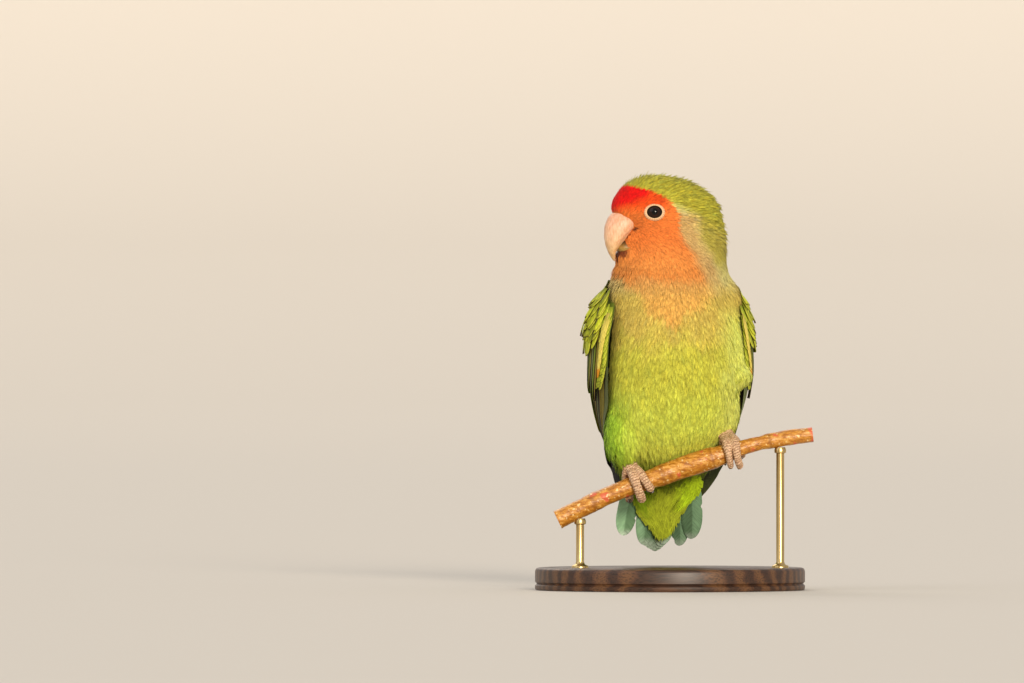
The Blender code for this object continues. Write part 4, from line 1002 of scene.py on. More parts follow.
# %% Patterns and the placing of a stiff vane
def vane_pattern(rows, columns):
    """Places (length share, width share, side) and faces of a closed slab."""
    bm = bmesh.new()
    bmesh.ops.create_grid(bm, x_segments=rows, y_segments=columns, size=1.0)
    bmesh.ops.solidify(bm, geom=bm.faces[:], thickness=0.1)
    bmesh.ops.recalc_face_normals(bm, faces=bm.faces)
    bm.verts.index_update()
    x, y, z = np.array([v.co for v in bm.verts]).T
    faces = np.array([[v.index for v in f.verts] for f in bm.faces])
    bm.free()
    near_shaft = np.concatenate([[0.0, 0.07], np.linspace(0.07, 1.0, columns // 2)[1:]])
    v = np.interp(y, np.linspace(-1, 1, columns + 1), np.concatenate([-near_shaft[:0:-1], near_shaft]))
    return np.stack([1 - (1 - (x + 1) / 2) ** 1.35, v, np.where(z > z.mean(), 1.0, -1.0)], 1), faces


FLIGHT, COVERT = vane_pattern(26, 8), vane_pattern(12, 6)
CELLS = 20  # a stiff feather fills one cell of the texture sheet, which has so many each way


def lay_vane(coat, cell, place, width, edges, colour, pattern=COVERT, camber=0.35, thick=0.2, shift=0.0,
             nicks=0, tip_from=0.7, root_width=0.45, point=0.0):
    """One feather. place(f) gives middle points, the ways up and across; colour(f, v, side) its colours."""
    spots, faces = pattern
    f, v, side = spots.T
    stations = np.linspace(0, 1, 41)
    middle, up, across = (np.stack([np.interp(f, stations, column) for column in part.T], 1)
                          for part in place(stations))
    tip = np.maximum(0.0, 1 - np.maximum(0.0, (f - tip_from) / (1 - tip_from)) ** 2.2) ** (0.5 + 0.5 * point)
    half = width / 2 * (root_width + (1 - root_width) * ease(f, 0.0, 0.3)) * np.maximum(tip, 0.03)
    for _ in range(nicks):
        at, edge, deep = draw.uniform(0.35, 0.95), draw.choice([-1.0, 1.0]), draw.uniform(0.08, 0.25)
        half = half * (1 - deep * np.exp(-(((f - at) / 0.025) ** 2)) * (v * edge > 0.5))
    lift = edges[0] + (edges[1] - edges[0]) * (v + 1) / 2 + camber * (1 - v**2)
    shaft = 0.14 * np.exp(-((v / 0.05) ** 2)) * (1 - 0.8 * f)
    height = lift * (0.25 + 0.75 * np.minimum(f * 1.2, 1.0)) + side * (thick / 2 * (1 - 0.5 * v**2) + shaft)
    points = middle + across * (half * (v + shift * (1 - v**2)))[:, None] + up * height[:, None]
    column, row = cell % CELLS, cell // CELLS
    patch = np.stack([(column + 0.05 + 0.9 * f) / CELLS, (row + 0.5 + 0.24 * side + 0.22 * v) / CELLS], 1)
    long = np.linalg.norm(middle[-1] - middle[0])
    barb = np.stack([f * np.linalg.norm(middle.max(0) - middle.min(0)) - 1.1 * np.abs(half * v), half * v,
                     np.full(len(f), cell * 3.7 + long)], 1)
    coat.lay(faces, place=points[None], colour=colour(f, v, side)[None], patch=patch[None], up=up[None],
             barb=barb[None])


def shaded(base, f, v, side, dark=None, web=2.0, edge=-2.0, tip=2.0, fringe=None, shaft=0.75, under=0.7):
    """A feather's colour: darker inner web, outer edge, tip, shaft and underside, and a paler fringe."""
    colour = np.tile(base, (len(f), 1)) * (0.66 + 0.34 * ease(f, 0.0, 0.5))[:, None]
    if fringe is not None:
        colour = mix(colour, fringe, ease(np.abs(v), 0.6, 0.9) * ease(f, 0.2, 0.5) * 0.8)
    if dark is not None:
        for share in (ease(v, web - 0.1, web + 0.1), ease(-v, -edge - 0.08, -edge + 0.08),
                      ease(f, tip - 0.06, tip + 0.06)):
            colour = mix(colour, dark, share)
    colour *= np.where(np.abs(v) < 0.05, shaft, 1.0)[:, None]
    return colour * np.where(side < 0, under, 1.0)[:, None]


# %% [markdown]
# ## Wings
# The folded wing is built in the order in which a bird's wing is tiled. Nine primaries and eight
# secondaries lie lowest and reach furthest back, three tertials close the wing over the back, and rows of
# coverts, each shorter than the one below, cover their roots up to the shoulder. The front edge has small
# green marginal coverts and yellow ones behind them, with dark-edged primary coverts further up. Scapulars
# bridge the step from wing to back. Each feather runs between two places (t, s) of the wing's base surface.

# %% Colours and paths on the wing
WING_TINT = tints({
    "green": "#9ab22d", "leaf": "#dae42e", "fringe": "#eeea56", "yellow": "#fbe668", "edge": "#becc35",
    "dark": "#2c1e0e", "brown": "#54441a", "stripe": "#b8a838", "grey": "#8f9a5c", "orange": "#e89a20",
})
PRIMARY_TIPS = (0.95, 1.0, 0.96, 0.89, 0.81, 0.74)
YELLOW_EDGE = (0.06, 0.066, 0.072, 0.08, 0.09)
WING_LOOKS = {  # the left wing is in shade, and the right one shows its dark primaries with pale stripes
    1: dict(pale="grey", strength=0.9, dark="brown", webs=(0.7, 0.0), tip=0.95, yellow_out=0.045),
    -1: dict(pale="stripe", strength=0.55, dark="dark", webs=(0.1, -0.6), tip=0.6, yellow_out=0.03),
}
FORM_KEYS = ("camber", "shift", "nicks", "tip_from", "root_width", "point")


def wing_path(sign, root, tip, rise):
    """The place() of a feather between two (t, s) places, rising from one height to another."""
    def place(f):
        t = root[0] + (tip[0] - root[0]) * f
        s = root[1] + (tip[1] - root[1]) * f
        lean = (tip[1] - root[1]) * 0.02
        spot, up = wing_surface(t, s, sign)
        way = (wing_surface(np.minimum(t + 0.015, 1.0), s + lean, sign)[0]
               - wing_surface(t - 0.015, s - lean, sign)[0])
        across = unit(np.cross(up, unit(way)))
        across *= np.sign(dot(across, wing_surface(t, s + 0.05, sign)[0] - spot))[:, None]
        return spot + up * (rise[0] + (rise[1] - rise[0]) * f)[:, None], up, across
    return place


def spread(low, high, count, k):
    return low + (high - low) * (k / (count - 1))


# %% Feathers and arm of each wing
def dress_wing(side, sign):
    """All feathers of one folded wing, from the innermost layer to the outermost, as one piece."""
    coat, cells, tint, primary = Coat(), iter(range(CELLS**2)), WING_TINT, WING_LOOKS[sign]
    dark = tint[primary["dark"]]

    def feather(start, end, width, edges, rise, base, pattern=COVERT, **look):
        form = {key: look.pop(key) for key in FORM_KEYS if key in look}
        lay_vane(coat, next(cells), wing_path(sign, start, end, rise), width, edges,
                 lambda f, v, s: shaded(base, f, v, s, **look), pattern, **form)

    for k in range(9):  # primaries, from the outermost and lowest up
        tip_t = np.interp(k / 8 * 5, range(6), PRIMARY_TIPS)
        pale = tint[primary["pale"] if k % 3 else "grey"] * primary["strength"]
        feather((0.34, spread(-0.01, 0.42, 9, k)), (tip_t, spread(0.08, 0.72, 9, k)), 6.2, (0.6, -0.2),
                (0.1, 0.5 + 0.015 * k), pale, FLIGHT,
                shift=-0.25, nicks=3, camber=0.25, tip_from=0.66, dark=dark,
                web=primary["webs"][k >= 2], tip=primary["tip"])
    for k in range(8):  # secondaries
        feather((0.36, spread(0.42, 0.88, 8, k)), (spread(0.745, 0.66, 8, k), spread(0.58, 0.94, 8, k)), 7.4,
                (0.6, -0.25), (0.4, 1.3 + 0.05 * k), tint["green"] * 0.9, FLIGHT,
                shift=-0.15, nicks=2, camber=0.3, dark=dark, web=0.2, fringe=tint["leaf"])
    for k in range(3):  # tertials
        feather((0.3, spread(0.84, 0.95, 3, k)), (spread(0.62, 0.5, 3, k), 0.9), 7.8, (0.45, 0.05),
                (0.8, 1.7 + 0.6 * k), tint["green"], FLIGHT, nicks=2, camber=0.4, dark=tint["brown"],
                web=0.75, fringe=tint["leaf"])
    for k in range(8):  # primary coverts, long and narrow
        s = spread(0.11, 0.4, 8, k)
        feather((0.2, s), (0.49 + 0.04 * draw.rand() - 0.012 * k, s + 0.03), 3.4, (0.6, -0.3),
                (0.45, 1.3 + 0.1 * draw.rand()), tint[("stripe", "green", "grey")[k % 3]],
                nicks=2, point=1.0, tip_from=0.45, dark=tint["dark"], web=-0.1, edge=-0.85)
    for k in range(10):  # greater coverts
        s = spread(0.42, 0.92, 10, k)
        feather((0.24, s), (0.5 - 0.05 * k / 9, s + 0.03), 5.0, (0.5, -0.25), (0.6, 1.7 + 0.2 * draw.rand()),
                tint["green"], nicks=2, dark=tint["dark"], web=0.5, fringe=tint["fringe"])
    for k in range(10):  # middle coverts
        s = spread(0.24, 0.92, 10, k)
        feather((0.17, s), (0.3 + 0.03 * draw.rand(), s + 0.02), 6.0, (0.45, -0.2),
                (0.8, 1.8 + 0.3 * draw.rand()), tint["leaf"] * 0.9, nicks=1, point=0.3,
                dark=tint["brown"], web=0.65, fringe=tint["fringe"])
    for row in range(3):  # marginal coverts of the front edge, green, then long yellow ones
        for k in range(15):
            t = 0.09 + 0.0225 * k + draw.uniform(-0.006, 0.006)
            s = np.interp(t, (0.2, 0.3, 0.36, 0.42), (0.028, 0.02, 0.042, 0.085)) - 0.024 + 0.03 * row
            feather((t, s), (t + draw.uniform(0.045, 0.06), s + 0.01), 2.3, (0.3, -0.15),
                    (0.3, 0.9 + 0.3 * draw.rand()), tint["edge"] * draw.uniform(0.7, 1.15),
                    point=0.4, tip_from=0.5, root_width=0.7, dark=tint["brown"], web=0.85,
                    tip=0.93 if k > 8 else 2.0, fringe=tint["fringe"])
    for k, inwards in enumerate(YELLOW_EDGE):
        t, s = 0.115 + 0.04 * k, inwards - primary["yellow_out"]
        feather((t, s), (t + 0.12, s + 0.005), 4.0 - 0.3 * k, (0.4, 0.0), (1.0, 1.5), tint["yellow"],
                point=0.5, nicks=1, root_width=0.7, dark=tint["orange"], tip=0.6 if k == 4 else 2.0,
                shaft=0.9)
    # the lesser coverts' brown inner webs and the darkening of whole feathers at random are painted shade
    # between the scales
    for row, count in enumerate((12, 12, 11, 11, 10, 9, 7, 6)):  # lesser coverts, scales up to the wrist
        t_root = 0.19 - 0.022 * row
        for k in range(count):
            s = spread(0.13, 0.94, count, k) + draw.uniform(-0.015, 0.015)
            feather((t_root, s), (t_root + draw.uniform(0.06, 0.1), s + draw.uniform(-0.02, 0.03)),
                    draw.uniform(4.2, 5.4), (0.35, -0.1), (0.5, 1.9 + 0.4 * draw.rand()),
                    tint["leaf"] * draw.choice([0.25, 0.45, 0.6, 0.75, 1.0]),
                    tip_from=0.35, point=0.8, camber=0.5, root_width=0.7, dark=tint["brown"],
                    web=draw.choice([0.2, 0.4, 0.7, 2.0]), tip=draw.choice([0.93, 2.0]),
                    fringe=tint["fringe"])
    for t, s, long, high in ((0.14, 0.42, 0.1, 3.4), (0.15, 0.36, 0.09, 2.9), (0.2, 0.4, 0.11, 2.8),
                             (0.1, 0.3, 0.09, 3.0)):  # a few loose ones
        feather((t, s), (t + long, s), 3.4, (0.2, 0.0), (1.2, high), tint["leaf"],
                tip_from=0.3, point=1.0, dark=tint["brown"], web=0.7, edge=-0.8, tip=0.85)
    for row in range(5):  # scapulars, over the wing's upper edge
        for k in range(4):
            s, t = spread(0.84, 1.06, 4, k) + 0.02 * (row % 2), 0.02 + 0.075 * row
            feather((t, s), (t + 0.15, s - 0.02), 6.2, (0.3, 0.1), (0.9, 2.4 + 0.2 * draw.rand()),
                    tint["green"] * 1.1, tip_from=0.55, camber=0.4, fringe=tint["leaf"])
    coat.weave(f"wing_feathers_{side}", stiff_plumage, "wing_plumage", f"wing_{side}", soften=0.3)


def wing_arm(side, sign):
    """The fleshy arm that carries the feathers, as a thin shell under them."""
    bm = bmesh.new()
    bmesh.ops.create_grid(bm, x_segments=24, y_segments=14, size=1.0)
    own = np.array([v.co for v in bm.verts])
    spot, up = wing_surface(0.05 + 0.31 * (own[:, 0] + 1) / 2, 0.04 + 0.9 * (own[:, 1] + 1) / 2, sign)
    edge = np.sqrt(np.maximum(0, 1 - own[:, 1] ** 2)) * np.sqrt(np.maximum(0, 1 - own[:, 0] ** 4))
    put_verts(bm, spot + up * (0.8 * edge - 1.3)[:, None])
    bmesh.ops.recalc_face_normals(bm, faces=bm.faces)
    if sum(f.normal.dot(Vector(up.mean(0))) for f in bm.faces) < 0:
        bmesh.ops.reverse_faces(bm, faces=bm.faces)
    bmesh.ops.solidify(bm, geom=bm.faces[:], thickness=1.0 * MM)
    mesh = to_mesh(bm)
    # the arm is painted at 0.4 of the wing's green: painted shade under the feathers
    note(mesh, "plumage", np.tile(WING_TINT["green"] * 0.4, (len(mesh.vertices), 1)), "FLOAT_COLOR")
    finish_piece(f"wing_arm_{side}", mesh, soft_plumage, "wing_plumage")


for side, sign in SIDES:
    dress_wing(side, sign)
    wing_arm(side, sign)

# %% [markdown]
# ## Tail
# Twelve graduated feathers hang in a low fan behind the perch, teal below with dusky inner webs and pale
# rounded tips, the middle pair olive. Long soft coverts lie over both faces of their roots: below, where the
# viewer sees them, they are yellow-green and reach almost to the tip; above they are blue-green.

# %% Tail feathers
TAIL_ROOT, TAIL_START = np.array([0.0, 22.6, 50.0]), 6.5
TAIL_BACK, TAIL_DOWN = np.array([0.40, 0.916]) / math.hypot(0.40, 0.916)
TAIL_WAY, TAIL_UP = np.array([0.0, TAIL_BACK, -TAIL_DOWN]), np.array([0.0, TAIL_DOWN, TAIL_BACK])
STACK_MIDDLE = -3.6  # the heights of the feathers below are halved about this one
TAIL_FEATHERS = (  # to the left at the root and the tip, height towards the back, length, width
    (-0.6, 0.6, 0.0, 37.4, 8.4), (0.6, 1.2, -0.8, 36.8, 8.4), (-1.4, -0.3, -1.6, 36.6, 8.4),
    (1.5, 1.8, -2.4, 35.6, 8.4), (-2.4, -1.7, -3.2, 35.6, 8.4), (2.5, 2.4, -4.0, 34.4, 8.4),
    (-3.4, -3.1, -4.8, 34.3, 8.4), (3.5, 3.2, -5.6, 33.0, 8.2), (-4.4, -4.8, -6.4, 33.2, 8.2),
    (5.2, 9.8, -6.4, 33.6, 8.2), (-10.4, -13.4, -7.2, 28.8, 8.4), (11.6, 14.3, -7.2, 30.4, 8.6))
TAIL_TINT = tints({
    "teal": "#93bd90", "dusk": "#5d7d58", "tip": "#bccdb8", "olive": "#838e2c", "bright": "#d0f226",
    "gold": "#c8cc32", "green": "#8fae14", "above": "#4c9048", "blue": "#3b8fae", "band": "#20241c",
    "red": "#c8522a",
})


def tail_spot(run, out, height):
    """A point so far down the tail, to the bird's left and towards its back."""
    run, out, height = np.broadcast_arrays(*(np.atleast_1d(np.asarray(v, float)) for v in (run, out, height)))
    sideways = np.outer(out, (1.0, 0.0, 0.0))
    return of_bird(TAIL_ROOT + TAIL_WAY * run[:, None] + sideways + TAIL_UP * height[:, None])


def tail_path(feather):
    root_side, tip_side, height, length, _ = feather
    height = STACK_MIDDLE + (height - STACK_MIDDLE) * 0.5

    def spot(f):
        out = root_side + (tip_side - root_side) * (1 - np.maximum(0.0, 1 - f) ** 1.8)
        return tail_spot(TAIL_START - 3.0 + (length - TAIL_START + 3.0) * f, out, height)

    def place(f):
        up = np.tile(of_bird(TAIL_UP), (len(f), 1))
        return spot(f), up, unit(np.cross(spot(f + 0.02) - spot(f - 0.02), up))
    return place


def tail_colour(feather):
    outer_side = np.sign(feather[1] + 0.7)
    central = abs(feather[1] - 1.0) < 2.2

    def colour(f, v, side):
        t = TAIL_TINT
        web = ease(v * -outer_side, -0.15, 0.1)
        below = mix(t["teal"], t["dusk"], web * 0.8)
        below = mix(below, t["olive"], (0.85 if central else 0.0) * (1 - ease(f, 0.85, 1.0)))
        below = mix(below, t["tip"], ease(f, 0.86, 0.98) * 0.7)
        above = mix(t["above"], t["blue"], ease(f, 0.8, 0.97))
        above = mix(above, t["band"], np.exp(-(((f - 0.62) / 0.05) ** 2)) * (not central))
        above = mix(above, t["red"], ease(0.56 - f, 0.0, 0.08) * (not central))
        out = np.where((side < 0)[:, None], below, above)
        shade = 1.45 if feather[1] < -10 else 0.72 if feather[1] > 5 else 1.0  # outer ones, lit or in shade
        return out * (shade * np.where(np.abs(v) < 0.05, 0.85, 1.0))[:, None]
    return colour


coat = Coat()
for cell, feather in enumerate(TAIL_FEATHERS):
    edges = (-0.05, -0.05) if abs(feather[1]) < 7 else (-0.2, 0.1)
    lay_vane(coat, cell, tail_path(feather), feather[4], edges,
             tail_colour(feather), FLIGHT, camber=0.12, nicks=1, tip_from=0.62, root_width=0.5)
coat.weave("tail_feathers", stiff_plumage, "tail_plumage", "tail", soften=0.3)

# %% Tail coverts
COVERT_RUN = (-4.0, 1.3, 7.6, 13.8, 16.9, 18.0, 22.3, 26.2, 28.4, 30.0, 31.0)
COVERT_LEFT = (-11.0, -11.0, -10.2, -8.3, -6.4, -5.6, -3.2, -1.0, -0.2, 0.4, 0.8)
COVERT_RIGHT = (11.4, 12.6, 12.2, 10.8, 9.2, 6.6, 6.2, 5.0, 4.0, 3.0, 2.2)


def tail_tufts(name, count, low, high, top, face, colours):
    """Soft coverts laid down one face of the tail, from its root to so far along."""
    tip_run = low + (high - low) * draw.rand(count) ** 0.9
    share = draw.uniform(-0.03, 1.03, count)
    long = draw.uniform(9.0, 13.5, count)
    stations = np.linspace(0, 1, STATIONS)[None]
    run = tip_run[:, None] - long[:, None] * (1 - stations)
    left, right = np.interp(run, COVERT_RUN, COVERT_LEFT), np.interp(run, COVERT_RUN, COVERT_RIGHT)
    out = left + (right - left) * (share[:, None] + 0.05 * np.sin(run * 0.3))
    high = top(run, out) + face * (0.2 + draw.uniform(0, 0.9, count)[:, None] * stations)
    line = tail_spot(run.ravel(), out.ravel(), high.ravel()).reshape(count, STATIONS, 3)
    rise = np.tile(of_bird(TAIL_UP * face), (count, STATIONS, 1))
    tone = np.array([colours(*pair) for pair in zip(tip_run, out[:, -1])]) * draw.normal(1, 0.08, (count, 1))
    coat = Coat()
    lay_tufts(coat, SOFT, line, rise, draw.uniform(1.8, 2.7, count), draw.uniform(0.4, 0.9, count), tone,
              np.ones(count), 0.28)
    coat.weave(name, soft_plumage, "tail_plumage")


def under_tone(run, out):
    side_glow = float(ease(out, 3.0, 8.0)) * float(1 - ease(run, 17.0, 21.0))
    shady = float(ease(-out, 1.0, 6.0))
    middle = (TINT["vent"] * 0.8 + TAIL_TINT["gold"] * 0.5) * (1 - shady) + TAIL_TINT["green"] * shady
    return middle * (1 - side_glow) + TAIL_TINT["bright"] * side_glow


tail_tufts("tail_coverts_below", 440, -2.0, 30.5,
           lambda run, out: -6.0 - 7.6 * (1 - ease(run, -6.0, 17.0)) - 0.004 * out**2, -1.0, under_tone)
tail_tufts("tail_coverts_above", 300, -3.0, 24.0,
           lambda run, out: 2.6 - 3.2 * ease(run, -4.0, 20.0), 1.0,
           lambda run, out: mix(TINT["rump"][None], TAIL_TINT["above"], ease(np.array([run]), 5.0, 13.0))[0])

# %% [markdown]
# ## Eyes and eyelids
# A lovebird's eye is nearly all pupil and dark iris behind a wet cornea, and the one sharp highlight on it is
# what makes the animal look alive. A finely divided ball gets a slight bulge for the cornea. The bare eyelid
# is spun from a small section round the line of sight: it dips to the ball inside, and small folds run
# round and across it.

# %% Cornea over the iris, and lid skin
eye_finish, tree = empty_finish("wet_eye_under_cornea")
off_axis = add_node(tree, "Attribute", attribute_name="off_axis", out="Fac")
iris = add_node(tree, "ValToRGB", {0: off_axis},
                ((0.34, "#0a0504"), (0.42, "#331708"), (0.66, "#241006"), (0.8, "#0b0604")))
where = add_node(tree, "TexCoord", out="Object")
rays = add_node(tree, "TexNoise", {"Vector": where, "Scale": per_mm(0.2), "Detail": 2.0})
shade = add_node(tree, "ValToRGB", {0: rays}, ((0.35, "#8c8c8c"), (0.65, "#ffffff")))
colour = add_node(tree, "Mix", {0: 1.0, 6: iris, 7: shade}, data_type="RGBA", blend_type="MULTIPLY", out=2)
shell = add_node(tree, "BsdfPrincipled", {"Base Color": colour, "Roughness": 0.015, "IOR": 1.38,
                                          "Specular IOR Level": 0.4})
add_node(tree, "OutputMaterial", {"Surface": shell})

lid_finish, tree = empty_finish("bare_eyelid_skin")
fold = add_node(tree, "Attribute", attribute_name="fold", out="Fac")
# paler on the folds' ridges, darker in their valleys and at the inner and outer rims: painted shade
tone = add_node(tree, "ValToRGB", {0: fold}, ((0.1, "#8a5c38"), (0.5, "#d8ab80"), (0.9, "#f0cfa4")))
where = add_node(tree, "TexCoord", out="Object")
pores = add_node(tree, "TexNoise", {"Vector": where, "Scale": per_mm(0.25), "Detail": 2.0})
relief = add_node(tree, "Bump", {"Height": pores, "Distance": 0.05 * MM, "Strength": 0.6})
shell = add_node(tree, "BsdfPrincipled", {"Base Color": tone, "Normal": relief, "Roughness": 0.6, "IOR": 1.45})
add_node(tree, "OutputMaterial", {"Surface": shell})
print("eye and lid materials made")

# %% Eyeballs and lids
LID_PROFILE = (
    (4.1, -1.7), (4.02, -0.75), (3.85, -0.18), (3.62, 0.06), (3.38, 0.14), (3.14, 0.08), (2.96, -0.06),
    (2.86, -0.3), (3.0, -0.8), (3.4, -1.7))
for side, (surface, look) in EYES.items():
    axis = Vector(look).to_track_quat("Z", "Y").to_matrix()
    bm = bmesh.new()
    bmesh.ops.create_uvsphere(bm, u_segments=64, v_segments=40, radius=1.0)
    angles = [math.acos(max(-1.0, min(1.0, vert.co.z))) for vert in bm.verts]
    for vert, angle in zip(bm.verts, angles):
        swell = 1 + 0.05 * math.exp(-((angle / 0.55) ** 2))  # the cornea
        vert.co = (Vector(surface - look * EYE_SUNK) + axis @ (vert.co * EYE_RADIUS * swell)) * MM
    mesh = to_mesh(bm)
    note(mesh, "off_axis", angles)
    finish_piece(f"eyeball_{side}", mesh, eye_finish, "eye", f"eye_{side}")

    bm = spun(LID_PROFILE, 120, closed=True)
    fold_shades = []
    for vert in bm.verts:
        x, y, h = vert.co
        around, r = math.atan2(y, x), math.hypot(x, y)
        crease = math.sin(around * 25) * 0.5 + math.sin(around * 41 + 1.7) * 0.3
        ring_fold = math.sin((r - 2.9) / 1.0 * math.pi * 2.5)
        if h > -0.7:
            h += 0.06 * crease + 0.05 * ring_fold
        flat = r * (1 - (1 - EYE_TALL) * math.sin(around) ** 2)
        if r < 3.3:
            h += math.sqrt(max(0.0, EYE_RADIUS**2 - flat**2)) - math.sqrt(max(0.0, EYE_RADIUS**2 - r * r))
        vert.co = (x * (1.02 + 0.05 * (x < 0)), y * EYE_TALL, h)
        # painted shade: lower in the folds' valleys, at the inner rim by the ball and at the outer rim under
        # the feathers
        fold_shades.append(0.6 + 0.25 * crease + 0.2 * ring_fold - 0.5 * (r < 2.92) - 0.25 * (r > 3.7))
        vert.co = (Vector(surface) + axis @ vert.co) * MM
    mesh = to_mesh(bm)
    note(mesh, "fold", fold_shades)
    finish_piece(f"lid_{side}", mesh, lid_finish, "bare_skin", f"eyelid_{side}")

# %% [markdown]
# ## Bill
# The bill is horn: smooth, faintly ridged along its length, pink-cream where blood shows through at the
# base and yellower and thinner at the edge. The CAD halves give its form, so each is remeshed finely and
# smoothed, which rounds their flat faces. The cere above it is a strip of bare skin with the nostrils,
# mostly under feathers.

# %% Horn
def horn_finish(name, tone_stops, roughness, what):
    """Horn whose colour follows a value of the mesh, with fine growth lines along it."""
    made, tree = empty_finish(name)
    own = add_node(tree, "Attribute", attribute_name=what, out="Fac")
    tone = add_node(tree, "ValToRGB", {0: own}, tone_stops)
    where = add_node(tree, "TexCoord", out="Object")
    long = add_node(tree, "Mapping", {"Vector": where, "Scale": (1.0, 1.0, 0.25)})
    lines = add_node(tree, "TexNoise", {"Vector": long, "Scale": per_mm(0.6), "Detail": 4.0})
    shade = add_node(tree, "ValToRGB", {0: lines}, ((0.3, "#dccbb8"), (0.62, "#ffffff")))
    colour = add_node(tree, "Mix", {0: 0.8, 6: tone, 7: shade}, data_type="RGBA", blend_type="MULTIPLY", out=2)
    relief = add_node(tree, "Bump", {"Height": lines, "Distance": 0.05 * MM, "Strength": 0.5})
    shell = add_node(tree, "BsdfPrincipled", {"Base Color": colour, "Normal": relief, "Roughness": roughness,
                                              "IOR": 1.55, "Specular IOR Level": 0.4, "Subsurface Weight": 0.1,
                                              "Subsurface Scale": 1.2 * MM})
    add_node(tree, "OutputMaterial", {"Surface": shell})
    return made


# %% Upper and lower bill, cere
mesh = even_mesh(node_mesh("bill_upper"), 0.24, 9)
points = places(mesh)
ahead, _ = head_frame(points)
above_edge = ease(ahead - np.interp(points[:, 2], *np.array(BILL_EDGE).T), -0.2, 1.8)
note(mesh, "horn_tone", np.clip(0.15 + ease(points[:, 2], 131.0, 150.0) * (0.4 + 0.45 * above_edge), 0, 1))
back = ease(points[:, 2], 134.5, 138.5) * (1 - ease(points[:, 2], 142.5, 146.0)) * (1 - above_edge)
points += (of_head(-1.3, 0.0, 0.0) - of_head(0.0, 0.0, 0.0)) * back[:, None]
put_places(mesh, points + read(mesh.vertices, "normal") * 0.05)
horn = horn_finish("bill_horn", ((0.0, "#bf9862"), (0.3, "#dcb582"), (0.6, "#e8be98"), (1.0, "#e3af90")), 0.45,
                   "horn_tone")
finish_piece("upper_bill", mesh, horn, "horn", "bill_upper")
mesh = even_mesh(node_mesh("bill_lower"), 0.24, 9)
points = places(mesh) - read(mesh.vertices, "normal") * 0.05 + np.array([-1.5, 0.0, 0.7])
# darker towards its top edge, where it tucks under the upper bill: painted shade that draws the gape's line
note(mesh, "horn_tone", ease(points[:, 2], 133.5, 139.5))
put_places(mesh, points)
lower_horn_shaded_top = horn_finish("lower_bill_horn_shaded_top", ((0.0, "#bda35c"), (0.6, "#a07c34"), (1.0, "#4a2e18")), 0.45,
                         "horn_tone")
finish_piece("lower_bill", mesh, lower_horn_shaded_top, "horn", "bill_lower")
mesh = even_mesh(node_mesh("cere"), 0.22, 6)
points = places(mesh) - read(mesh.vertices, "normal") * 0.5 + of_head(-1.0, 0.0, -0.5) - of_head(0.0, 0.0, 0.0)
note(mesh, "horn_tone", 0.5 + 0.5 * wander(points, 0.7, 12))
put_places(mesh, points)
cere_skin = horn_finish("cere_skin", ((0.2, "#c9806a"), (0.8, "#e3a890")), 0.6, "horn_tone")
finish_piece("cere_and_nostrils", mesh, cere_skin, "bare_skin", "cere")

# %% [markdown]
# ## Feet
# A parrot's foot has two toes before and two behind. Their skin is cased in rows of small horny plates with
# darker grooves. The CAD legs are remeshed at a quarter of a millimetre, and each point is raised or sunk
# by its distance along the nearest toe, so that the rings of plates are real relief.

# %% Foot skin and the toes' places
HUB_LIFT = 4.3  # of the toes' meeting point over the perch
TOES = {  # where the foot stands, then each toe's shift along the perch, first and last angle, gap, radius
    "right": (-13.6, ((0.2, 74.0, -74.0, 0.9, 1.85), (4.7, 72.0, -38.0, 0.2, 1.75),
                      (-4.4, 108.0, 236.0, 0.4, 1.75), (3.6, 110.0, 206.0, 0.2, 1.6))),
    "left": (24.6, ((3.2, 74.0, -76.0, 2.2, 1.85), (-1.3, 72.0, -62.0, 0.9, 1.75),
                    (4.4, 108.0, 222.0, 0.4, 1.75), (-3.4, 110.0, 206.0, 0.2, 1.6)))}
foot_finish, tree = empty_finish("scaly_foot_skin")
plate = add_node(tree, "Attribute", attribute_name="plate", out="Fac")
tone = add_node(tree, "ValToRGB", {0: plate}, ((0.15, "#5e4230"), (0.4, "#b08c6c"), (0.8, "#dcbb98")))
where = add_node(tree, "TexCoord", out="Object")
spots = add_node(tree, "TexNoise", {"Vector": where, "Scale": per_mm(0.7), "Detail": 3.0})
shade = add_node(tree, "ValToRGB", {0: spots}, ((0.36, "#a98b76"), (0.6, "#ffffff")))
colour = add_node(tree, "Mix", {0: 0.7, 6: tone, 7: shade}, data_type="RGBA", blend_type="MULTIPLY", out=2)
fine = add_node(tree, "TexNoise", {"Vector": where, "Scale": per_mm(0.25), "Detail": 2.0})
relief = add_node(tree, "Bump", {"Height": fine, "Distance": 0.05 * MM, "Strength": 0.6})
shell = add_node(tree, "BsdfPrincipled", {"Base Color": colour, "Normal": relief, "Roughness": 0.6, "IOR": 1.5,
                                          "Specular IOR Level": 0.35, "Subsurface Weight": 0.05,
                                          "Subsurface Scale": 1.0 * MM})
add_node(tree, "OutputMaterial", {"Surface": shell})
print("foot skin made")


# %% Scuted legs
def toe_line(foot_x, toe, count=60):
    """Points along a toe's middle, from under the ankle to its end."""
    shift, first, last, open_end, thick = toe
    f = np.linspace(0, 1, count)
    share = perch_share(foot_x + shift * (0.45 + 0.55 * f))
    path = [round_perch(s, np.array([first + (last - first) * x]), thick + GAP + open_end * x * x)[0]
            for s, x in zip(share, f)]
    hub = round_perch(perch_share(foot_x), np.array([92.0]), GAP + HUB_LIFT)[0]
    root = round_perch(perch_share(foot_x + shift * 0.5), np.array([first]), thick + GAP)[0]
    return np.concatenate([[hub, hub * 0.45 + root * 0.55], path])


